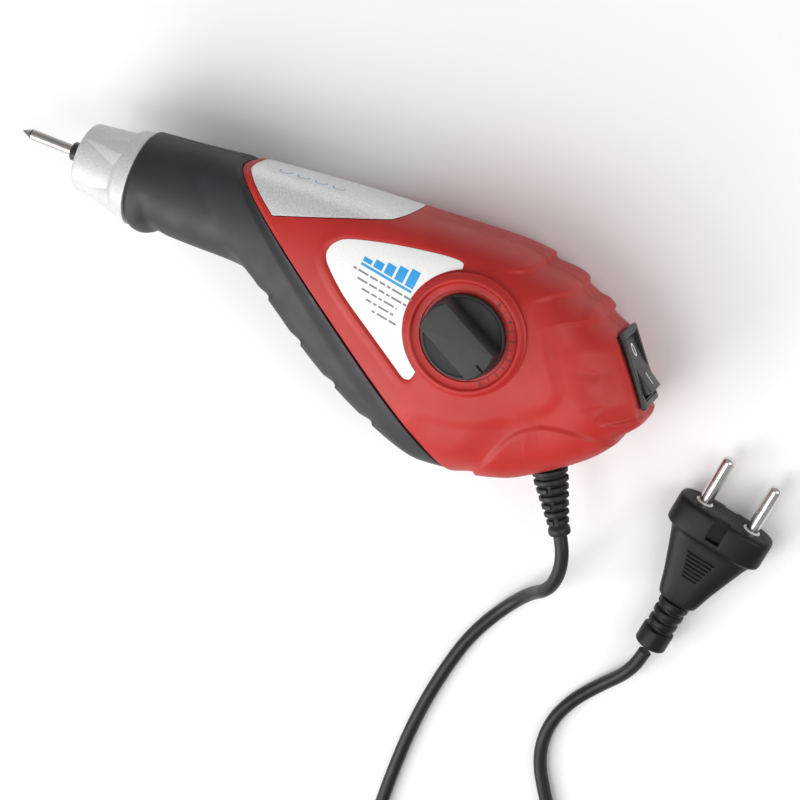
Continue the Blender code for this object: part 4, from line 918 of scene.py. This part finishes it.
def grip_depth(x, y, station, angle):
    """Surface of the overmould: front lip, finger steps on the belly side, and a lower edge to the red."""
    around = np.maximum(0.0, -np.cos(angle)) ** 1.2
    lip = 2.6 * around * np.sin(math.pi * np.clip(0.12 + 0.88 * station / 0.07, 0.0, 1.0))
    groove = 0.55 * around * np.exp(-((station - 0.083) / 0.016) ** 2)
    nose = 1.1 * (1.0 - smooth_step(station / 0.016))
    low = 0.95 * smooth_step((station - 0.90) / 0.075)
    back = np.maximum(0.0, np.cos(angle)) ** 2
    fade = (1.0 - back) * (1.0 - smooth_step(station / 0.45)) + back * np.clip(1.0 - station, 0.0, 1.0)
    flare = 2.3 * fade * (1.0 - around)
    depth = -lip * (station < 0.07) + groove + nose + low - flare
    for start, end in FINGER_NOTCHES:
        inward = (end[0] - start[0], end[1] - start[1])
        outside = (start[0] - 0.8 * inward[0], start[1] - 0.8 * inward[1])
        signed, part = line_distance(x, y, [outside, start, end])
        fade = smooth_step((1.0 - part) / 0.5)
        depth = depth + shingle(-signed, 1.2, 6.0, 0.9) * fade
    return depth


def make_grip(name, side):
    stations = np.concatenate([np.linspace(0.0, 0.02, int(8 * FINE) + 3),
                               np.linspace(0.026, 0.985, int(210 * FINE))])
    angles = even_angles(int(170 * FINE))
    outer = skin_grid(stations, angles, grip_depth, side)
    inner = skin_grid(stations, angles, level(GRIP_T), side)
    mesh = shell_from_grids(name, outer, inner)
    return new_piece("rubber_" + name, mesh, RUBBER, "housing", "black_rubber", name, sharp_deg=45.0)


def skin_layer(name, depths, stations, angles, first, last):
    """Thin shell just off the upper skin, over the angles between two."""
    angles = angles[(angles > first) & (angles < last)]
    return shell_from_grids(name, *(skin_grid(stations, angles, level(depth), 1) for depth in depths))


def flank_layer(name, *depths):
    """Thin shell on the upper flank, for printed films and inks."""
    return skin_layer(name, depths, np.linspace(1.0, 1.78, int(130 * FINE)),
                      even_angles(int(170 * FINE)), math.radians(25.0), math.radians(150.0))


def label_spot(along, across):
    """Point of the label from its own axes, along the print and across it."""
    turn = math.radians(-8.0)
    return (26.0 + along * math.cos(turn) - across * math.sin(turn),
            22.0 + along * math.sin(turn) + across * math.cos(turn))


def print_prisms(rectangles):
    """Prisms through the label for rectangles of (along, across, length, height)."""
    result = []
    for along, across, length, height in rectangles:
        corners = [(along, across), (along + length, across), (along + length, across + height),
                   (along, across + height)]
        result.append(prism("mark", [label_spot(*c) for c in corners], 40.0, 70.0))
    return joined("marks", result)


def make_label():
    film = carve(flank_layer("film", 0.18, 0.32),
                 ("INTERSECT", prism("trim", label_outline(), 40.0, 70.0)))
    new_piece("label_film", film, LABEL_WHITE, "housing", "label_film", "rating_label")
    bars = [(-7.5 + 4.2 * k, 0.6, 3.3, 1.6 + 1.15 * k) for k in range(5)] + [(-7.5, -0.9, 20.1, 0.9)]
    blue = carve(flank_layer("blue", 0.10, 0.20), ("INTERSECT", print_prisms(bars)))
    new_piece("label_blue_marks", blue, INK_BLUE, "housing", "label_film", sharp_deg=60.0)
    lines = []
    rows = ((-9.5, 24.0), (-6.5, 19.5), (-3.5, 14.0), (-0.6, 11.0), (3.0, 9.6))
    for row, (start, total) in enumerate(rows):
        spot = start
        for step in range(30):
            if spot >= start + total:
                break
            length = 1.3 + 0.9 * ((step * 7 + row * 3) % 4)
            lines.append((spot, -3.2 - 2.6 * row, min(length, start + total - spot), 0.62))
            spot += length + 0.75
    grey = carve(flank_layer("grey", 0.10, 0.20), ("INTERSECT", print_prisms(lines)))
    new_piece("label_grey_rules", grey, INK_GREY, "housing", "label_film", sharp_deg=60.0)


def back_layer(name, *depths):
    """Thin shell on the upper half of the back, for the sticker and its print."""
    return skin_layer(name, depths, np.linspace(0.93, 1.5, int(150 * FINE)),
                      even_angles(int(240 * FINE)), 0.05, PANEL_END)


STICKER_AXIS = Vector((1.0, 0.075, 0.03)).normalized()         # along the sticker
STICKER_CENTRE = Vector((-12.4, 38.3, 33.4))


def sticker_frame():
    """Frame whose Z runs through the back and whose X follows the sticker."""
    out = Vector((-0.07, 0.95, 0.28)).normalized()
    across = out.cross(STICKER_AXIS).normalized()
    return axes_frame(STICKER_CENTRE, STICKER_AXIS, across, STICKER_AXIS.cross(across))


def make_panel():
    """Silver panel with a small white sticker that carries four plain rings."""
    panel = panel_shell("panel", 0.0, PANEL_T, 0.0)
    new_piece("silver_panel", soften(panel, 0.35, 2, 50.0), SILVER, "housing", "silver_plastic",
              "back_panel")
    frame_here = sticker_frame()
    corners = [(-14.6, -3.7), (14.6, -3.7), (14.6, 3.7), (-14.6, 3.7)]
    strip = prism("strip", corners, -9.0, 9.0, frame_here)
    sticker = carve(back_layer("sticker", -0.08, 0.02), ("INTERSECT", strip))
    new_piece("panel_sticker", sticker, LABEL_WHITE, "housing", "label_film")
    rings = []
    for index in range(4):
        spot = frame_here @ Matrix.Translation((-10.2 + 6.8 * index, 0.0, 0.0))
        rings.append(lathe("ring", [(1.9, -9.0), (2.4, -9.0), (2.4, 9.0), (1.9, 9.0)], spot, 48))
    marks = carve(back_layer("rings", -0.12, -0.02), ("INTERSECT", joined("rings", rings)))
    new_piece("sticker_rings", marks, INK_PALE_BLUE, "housing", "label_film", sharp_deg=60.0)


# ---------------------------------------------------------------- dial

DIAL_REST_DEG = -28.2
SCALE_START_DEG = -52.7         # where the 0 stands
SCALE_STEP_DEG = 113.7 / 5.0    # from one digit to the next
SCALE_R = 17.0


def dial_turned(degrees):
    """Frame on the knob's seat, turned about its axis."""
    return upright(DIAL_X, DIAL_Y, DIAL_SEAT_Z) @ Matrix.Rotation(math.radians(degrees), 4, "Z")


def make_dial_knob():
    """Round skirt with a raised finger bar whose ends follow the rim, and a pointer notch."""
    turn = dial_turned(DIAL_REST_DEG)
    skirt = lathe("skirt", [(0.0, 0.0), (14.5, 0.0), (14.7, 0.25), (14.7, 1.9), (14.45, 2.3), (13.9, 2.42),
                            (13.5, 2.2), (13.2, 2.1), (0.0, 1.9)], turn, 128)
    core = lathe("core", [(0.0, 1.2), (14.3, 1.2), (13.7, 9.0), (13.2, 9.45), (0.0, 9.55)], turn, 128)
    side = [(-7.1, 1.0), (7.1, 1.0), (6.5, 9.0), (6.2, 9.6), (-6.2, 9.6), (-6.5, 9.0)]
    bar = between_ends("bar", [(x, y, z) for x in (-16.0, 16.0) for y, z in side], turn)
    notch = block_mesh("notch", (10.4, -0.45, 8.4), (16.0, 0.45, 12.0), turn)
    grip = soften(carve(core, ("INTERSECT", bar), ("DIFFERENCE", notch)), 0.35, 3, 30.0)
    knob = carve(skirt, ("UNION", grip))
    new_piece("stroke_knob", knob, KNOB, "stroke_dial", "black_plastic", "dial_knob", sharp_deg=30.0)


def flat_text(name, text, size, matrix, thick, look, body, slot):
    """Raised digits as a mesh, centred on a frame in millimetres."""
    curve = bpy.data.curves.new(name, "FONT")
    curve.body = text
    curve.size = size
    curve.extrude = thick / 2
    curve.offset = 0.03
    curve.align_x, curve.align_y = "CENTER", "CENTER"
    mesh = finished(linked(name, curve))
    mesh.transform(Matrix.Scale(MM, 4) @ matrix)
    return new_piece(name, mesh, look, body, slot, sharp_deg=30.0)


def make_dial_scale():
    """Digits 0 to 5 round the knob, and a tick between neighbours."""
    for digit in range(6):
        place = (dial_turned(SCALE_START_DEG + SCALE_STEP_DEG * digit)
                 @ Matrix.Translation((SCALE_R, 0, 0.42)) @ Matrix.Rotation(math.radians(-90.0), 4, "Z"))
        flat_text("dial_digit_%d" % digit, str(digit), 2.5, place, 0.12, INK_BLACK, "housing",
                  "black_plastic")
    ticks = []
    for index in range(5):
        turn = dial_turned(SCALE_START_DEG + SCALE_STEP_DEG * (index + 0.5))
        ticks.append(block_mesh("tick", (16.2, -0.16, 0.36), (17.7, 0.16, 0.48), turn))
    new_piece("dial_ticks", joined("ticks", ticks), INK_BLACK, "housing", "black_plastic", sharp_deg=30.0)


# ---------------------------------------------------------------- nose and needle unit

CAP_BACK_X = -74.3
CAP_LENGTH = 23.5
CAP_FRONT_R = 12.5
CONE_SLOPE, FLOOR_SLOPE = 0.215, 0.125      # growth of the cone and of the pockets' floors to the rear
POCKET_LENGTH = 15.6
POCKET_RAMP = 2.6


def cap_radius(height, angle):
    """Outside of the cap: a cone with four pockets, each as wide as its quarter at the front edge."""
    cone = CAP_FRONT_R + (CAP_LENGTH - height) * CONE_SLOPE
    floor = CAP_FRONT_R + (CAP_LENGTH - height) * FLOOR_SLOPE
    back = np.clip((CAP_LENGTH - height) / POCKET_LENGTH, 0.0, 1.0)
    turn = np.degrees(np.abs((angle + math.pi / 4) % (math.pi / 2) - math.pi / 4))
    inner, outer = 44.0 - 26.5 * back, 45.0 - 10.0 * back
    wall = np.clip((turn - inner) / (outer - inner), 0.0, 1.0)
    ramp = smooth_step((CAP_LENGTH - POCKET_LENGTH - height) / POCKET_RAMP)
    return floor + (cone - floor) * np.maximum(wall, ramp)


def make_nose():
    """Cap whose wall is a cone with four pockets for a wrench, and the bush in its front."""
    frame_here = frame_of((CAP_BACK_X, NEEDLE_Y, SPLIT_Z), (-1, 0, 0))
    segments = int(400 * FINE) // 4 * 4
    angle = 2.0 * math.pi * np.arange(segments) / segments
    circle = np.stack([np.cos(angle), np.sin(angle)], axis=-1)
    heights = np.concatenate([np.linspace(CAP_LENGTH - 0.9, 8.4, int(46 * FINE)),
                              np.linspace(8.2, 4.4, int(30 * FINE)), np.linspace(4.0, 0.5, 8)])
    front = [(3.6, CAP_LENGTH), (11.4, CAP_LENGTH), (12.0, CAP_LENGTH - 0.12), (12.35, CAP_LENGTH - 0.4)]
    hollow = [(17.3, 0.15), (16.9, 0.0), (13.4, 0.0), (13.2, 0.2), (13.2, 7.6), (7.4, 8.8), (6.4, 20.6),
              (3.6, 20.6)]
    rings = [(radius * circle, height) for radius, height in front]
    rings += [(cap_radius(height, angle)[:, None] * circle, height) for height in heights]
    rings += [(radius * circle, height) for radius, height in hollow]
    points = np.concatenate([np.column_stack([ring, np.full(segments, height)]) for ring, height in rings])
    faces = grid_faces(len(rings), segments, 0, True)
    last = (len(rings) - 1) * segments
    faces += [(last + k, last + (k + 1) % segments, (k + 1) % segments, k) for k in range(segments)]
    cap = mesh_from("cap", moved(points, frame_here), faces)
    new_piece("nose_shell", cap, CAP_SILVER, "housing", "silver_plastic", "nose_cap", sharp_deg=40.0)
    bush = lathe("bush", [(2.05, 29.2), (2.9, 29.4), (3.3, 29.2), (3.5, 28.8), (3.5, 20.6), (2.05, 20.6)],
                 frame_here, 64)
    new_piece("dark_bush", bush, BUSH_DARK, "housing", "iron", "needle_bush", sharp_deg=40.0)


# ---------------------------------------------------------------- switch

def make_switch():
    frame_here = face_frame()
    bezel = block_mesh("bezel", (-13.7, -10.0, 0.05), (13.7, 10.0, 1.9), frame_here)
    bezel = soften(bezel, 0.7, 3, 30.0)
    can = block_mesh("can", (-12.2, -9.0, -13.0), (12.2, 9.0, 0.6), frame_here)
    well = soften(block_mesh("well", (-10.9, -7.0, -6.4), (10.9, 7.0, 6.0), frame_here), 0.3, 2, 30.0)
    lip = block_mesh("lip", (-11.5, -7.6, 1.45), (11.5, 7.6, 3.0), frame_here)
    body = carve(bezel, ("UNION", can), ("DIFFERENCE", lip), ("DIFFERENCE", well))
    new_piece("switch_frame", body, BLACK, "housing", "black_plastic", "switch_body", sharp_deg=30.0)
    tilt = (frame_here @ Matrix.Translation((0.0, 0.0, -0.4))
            @ Matrix.Rotation(math.radians(-12.0), 4, "Y"))
    top = [(-9.9 + 19.8 * k / 36, 2.15 + 0.95 * abs(2.0 * k / 36 - 1.0) ** 1.5) for k in range(37)]
    outline = [(-9.9, 0.2)] + top + [(9.9, 0.2), (4.0, -4.2), (-4.0, -4.2)]
    rocker = between_ends("rocker", [(x, y, z) for y in (-6.6, 6.6) for x, z in outline], tilt)
    rocker = soften(rocker, 0.3, 3, 40.0)
    new_piece("switch_key", rocker, SATIN, "rocker", "black_plastic", "switch_rocker", sharp_deg=30.0)
    surface = tree_of(rocker)
    turns = [2.0 * math.pi * k / 48 for k in range(48)]
    ring = [(-5.6 + 2.1 * math.cos(turn), 1.25 * math.sin(turn)) for turn in turns]
    bar = [(3.2 + 4.6 * k / 12, 0.0) for k in range(13)]
    for name, line, closed, width in (("off", ring, True, 0.75), ("on", bar, False, 0.6)):
        stroke = stroke_mesh(name, line, closed, tilt, surface, width)
        new_piece("switch_%s_mark" % name, stroke, INK_WHITE, "rocker", "pale_plastic", sharp_deg=60.0)


def stroke_mesh(name, line, closed, matrix, surface, width, thick=0.05):
    """Thin painted stroke that follows a line laid on a surface."""
    count = len(line)
    down = (matrix.to_3x3() @ Vector((0.0, 0.0, -1.0))).normalized()
    points = []
    for k in range(count):
        ahead = line[(k + 1) % count] if closed or k + 1 < count else line[k]
        behind = line[k - 1] if closed or k > 0 else line[k]
        along = Vector((ahead[0] - behind[0], ahead[1] - behind[1], 0.0)).normalized()
        across = Vector((-along.y, along.x, 0.0)) * width / 2
        for side in (-1.0, 1.0):
            spot = matrix @ (Vector((line[k][0], line[k][1], 8.0)) + across * side)
            hit = surface.ray_cast(spot * MM, down)[0]
            base = hit / MM if hit else spot + down * 5.5
            points += [base + down * 0.02, base - down * thick]
    faces = []
    for k in range(count if closed else count - 1):
        a, b = 4 * k, 4 * ((k + 1) % count)
        faces += [(a, a + 1, b + 1, b), (a + 1, a + 3, b + 3, b + 1), (a + 3, a + 2, b + 2, b + 3),
                  (a + 2, a, b, b + 2)]
    if not closed:
        last = 4 * (count - 1)
        faces += [(0, 2, 3, 1), (last, last + 1, last + 3, last + 2)]
    return mesh_from(name, [tuple(p) for p in points], faces)


# ---------------------------------------------------------------- cord fittings

def make_relief():
    """Tapered sleeve with staggered ribs, held in the wall by its flange."""
    frame_here = frame_of(EXIT_POINT, EXIT_DIR)
    profile = [(0.0, 25.0), (3.2, 25.0), (3.6, 24.8), (3.95, 24.3), (4.0, 23.0), (3.8, 22.1),
               (3.45, 21.6)]
    bases = [20.9 - 3.0 * k for k in range(6)]
    for k, base in enumerate(bases):
        outer = 4.0 + 0.43 * k
        profile += [(outer - 0.85, base), (outer, base - 0.35), (outer + 0.08, base - 1.6),
                    (outer - 0.15, base - 1.95), (outer - 0.8, base - 2.1)]
    profile += [(5.6, 2.8), (6.3, 2.4), (6.4, 1.9), (6.4, 1.1), (6.2, 0.9), (4.7, 0.9), (4.7, -6.4),
                (6.6, -6.4), (6.6, -8.4), (0.0, -8.4)]
    sleeve = lathe("sleeve", profile, frame_here, 96)
    slots = []
    for k, base in enumerate(bases):
        for turn in (0.0, 180.0):
            spin = frame_here @ Matrix.Rotation(math.radians(turn + 90.0 * (k % 2)), 4, "Z")
            slots.append(block_mesh("slot", (3.2 + 0.40 * k, -0.8, base - 2.7), (9.0, 0.8, base + 0.5),
                                    spin))
    sleeve = carve(sleeve, ("DIFFERENCE", joined("slots", slots[::2])),
                   ("DIFFERENCE", joined("slots", slots[1::2])))
    new_piece("relief_sleeve", sleeve, RELIEF, "housing", "black_rubber", "strain_relief", sharp_deg=35.0)


PLUG_FACE = Vector((160.8, -26.8, 9.3))
PLUG_HEADING_DEG = 80.0


def plug_frame():
    heading = math.radians(PLUG_HEADING_DEG)
    ahead = Vector((math.cos(heading), math.sin(heading), 0.0))
    across = Vector((math.sin(heading), -math.cos(heading), 0.0))
    return axes_frame(PLUG_FACE, across, ahead.cross(across), ahead)


def oval(half_x, half_y, power, count):
    angles = 2.0 * math.pi * np.arange(count) / count
    cosine, sine = np.cos(angles), np.sin(angles)
    return np.stack([np.copysign(np.abs(cosine) ** power, cosine) * half_x,
                     np.copysign(np.abs(sine) ** power, sine) * half_y], axis=-1)


# Sections of the plug from its face to its neck, each (place, half width, half height, roundness)
PLUG_SECTIONS = [(0.0, 16.9, 7.7, 0.72), (-0.15, 17.5, 8.3, 0.7), (-0.5, 18.0, 8.8, 0.7),
                 (-1.1, 18.3, 9.1, 0.7), (-2.0, 18.4, 9.2, 0.7), (-9.6, 18.4, 9.2, 0.7),
                 (-10.4, 18.2, 9.0, 0.7), (-10.9, 17.6, 8.5, 0.68), (-11.3, 16.6, 7.9, 0.65),
                 (-11.9, 15.8, 7.5, 0.62), (-14.0, 14.8, 7.3, 0.6), (-20.0, 12.6, 6.85, 0.6),
                 (-28.0, 9.8, 6.2, 0.6), (-34.5, 7.9, 5.75, 0.6), (-36.0, 7.4, 5.5, 0.62),
                 (-36.7, 6.8, 5.2, 0.7), (-37.0, 6.2, 5.0, 0.8)]
PIN_OFFSET = 9.5


def make_plug():
    """Plug with a notch and a ribbed field on both wide faces, its ribbed sleeve, and two pins."""
    frame_here = plug_frame()
    count = 128
    points = np.concatenate([np.column_stack([oval(x, y, p, count), np.full(count, z)])
                             for z, x, y, p in PLUG_SECTIONS])
    faces = grid_faces(len(PLUG_SECTIONS), count, 0, True)
    faces += [list(range(count)), list(range(len(points) - count, len(points)))]
    body = mesh_from("plug", moved(points, frame_here), faces)
    notches, sockets = [], []
    for side in (-1, 1):
        low, high = sorted((side * 6.6, side * 14.0))
        notches.append(block_mesh("notch", (-2.6, low, -8.6), (2.6, high, 3.0), frame_here))
        for groove in range(7):
            z = -16.4 - 1.5 * groove
            half = 5.4 - 0.42 * groove
            near = side * (7.0 - 0.145 * groove * 0.75)
            low, high = sorted((near - side * 0.75, side * 14.0))
            notches.append(block_mesh("ridge", (-half, low, z - 0.42), (half, high, z + 0.42), frame_here))
        spot = frame_here @ Matrix.Translation((side * PIN_OFFSET, 0.0, 0.0))
        sockets.append(lathe("socket", [(0.0, 3.0), (3.3, 3.0), (3.3, -0.7), (2.65, -0.7), (2.65, -6.0),
                                        (0.0, -6.0)], spot, 48))
    body = carve(body, ("DIFFERENCE", joined("notches", notches)),
                 ("DIFFERENCE", joined("sockets", sockets)))
    new_piece("plug_shell", soften(body, 0.15, 2, 50.0), PLUG, "housing", "black_rubber", "plug_body",
              sharp_deg=35.0)
    collar = rounded([(0.0, -37.3), (5.8, -37.3), (5.8, -40.0), (4.7, -40.3), (4.7, -41.7), (5.6, -42.0),
                      (5.6, -44.0), (4.6, -44.3), (4.6, -45.7), (5.4, -46.0), (5.4, -48.0), (4.5, -48.3),
                      (4.5, -49.7), (5.9, -50.0), (5.9, -56.6), (5.3, -57.2), (0.0, -57.2)], 0.45, 4)
    new_piece("plug_sleeve", lathe("collar", collar, frame_here, 96), PLUG, "housing", "black_rubber",
              "plug_collar", sharp_deg=35.0)
    bends = [math.radians(a) for a in range(0, 90, 9)]
    tip = [(2.4 * math.cos(bend), 16.9 + 2.1 * math.sin(bend)) for bend in bends]
    ring = rounded([(2.45, 0.25), (3.2, 0.25), (3.2, -0.6), (2.45, -0.6)], 0.12, 2)
    for letter, side in (("a", -1), ("b", 1)):
        spot = frame_here @ Matrix.Translation((side * PIN_OFFSET, 0.0, 0.0))
        pin = lathe("pin", [(0.0, -5.7), (2.4, -5.7)] + tip + [(0.0, 19.0)], spot, 64)
        new_piece("plug_prong_" + letter, pin, PIN_STEEL, "housing", "steel", "plug_pin_" + letter,
                  sharp_deg=35.0)
        new_piece("plug_washer_" + letter, lathe("washer", ring, spot, 64), INK_WHITE, "housing",
                  "pale_plastic", sharp_deg=35.0)


def make_housing_screws():
    """Pan-head screws with a cross recess, seen from below."""
    for index, (x, y) in enumerate(HOUSING_SCREWS):
        matrix = upright(x, y)
        profile = [(0.0, 39.4), (1.1, 38.4), (1.4, 37.4), (1.4, 15.9), (2.9, 15.7), (3.0, 15.4),
                   (3.0, 14.2), (2.7, 13.6), (2.0, 13.3), (0.0, 13.2)]
        screw = lathe("screw", profile, matrix, 48)
        cross = [block_mesh("slot", (-2.0, -0.38, 12.0), (2.0, 0.38, 14.4), matrix),
                 block_mesh("slot", (-0.38, -2.0, 12.0), (0.38, 2.0, 14.4), matrix)]
        screw = carve(screw, ("DIFFERENCE", cross[0]), ("DIFFERENCE", cross[1]))
        new_piece("case_screw_%d" % (index + 1), screw, ZINC, "housing", "steel",
                  "housing_screw_%d" % (index + 1), sharp_deg=30.0)


# ---------------------------------------------------------------- CAD nodes that stay

def paint_nodes(look, *names):
    """Gives CAD nodes that stay in the picture a finished material."""
    for name in names:
        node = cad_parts[name]
        for slot_index in range(len(node.material_slots)):
            node.material_slots[slot_index].material = look


def paint_inside():
    paint_nodes(STEEL_TURNED, "needle_shank", "needle_clamp_screw", "core_screw_a", "core_screw_b",
                "clamp_screw_a", "clamp_screw_b", "dial_clip", "return_spring")
    paint_nodes(CARBIDE, "carbide_tip")
    paint_nodes(IRON, "armature", "core_stack")
    paint_nodes(COPPER, "winding")
    paint_nodes(BRASS, "switch_terminal_a", "switch_terminal_b")
    paint_nodes(PALE, "plunger", "plunger_guide", "bobbin", "dial_shaft", "stroke_stop", "cord_clamp")
    paint_nodes(SHEATH, "cord_stub")
    paint_nodes(WIRE, "wire_line", "wire_neutral", "wire_switched")
    paint_nodes(TIE, "cord_tie")


make_stage()
CORD = make_cord()
make_housing_upper()
make_housing_lower()
make_grip("grip_upper", 1)
make_grip("grip_lower", -1)
make_panel()
make_label()
make_dial_knob()
make_dial_scale()
make_nose()
make_switch()
make_relief()
make_plug()
make_housing_screws()
paint_inside()
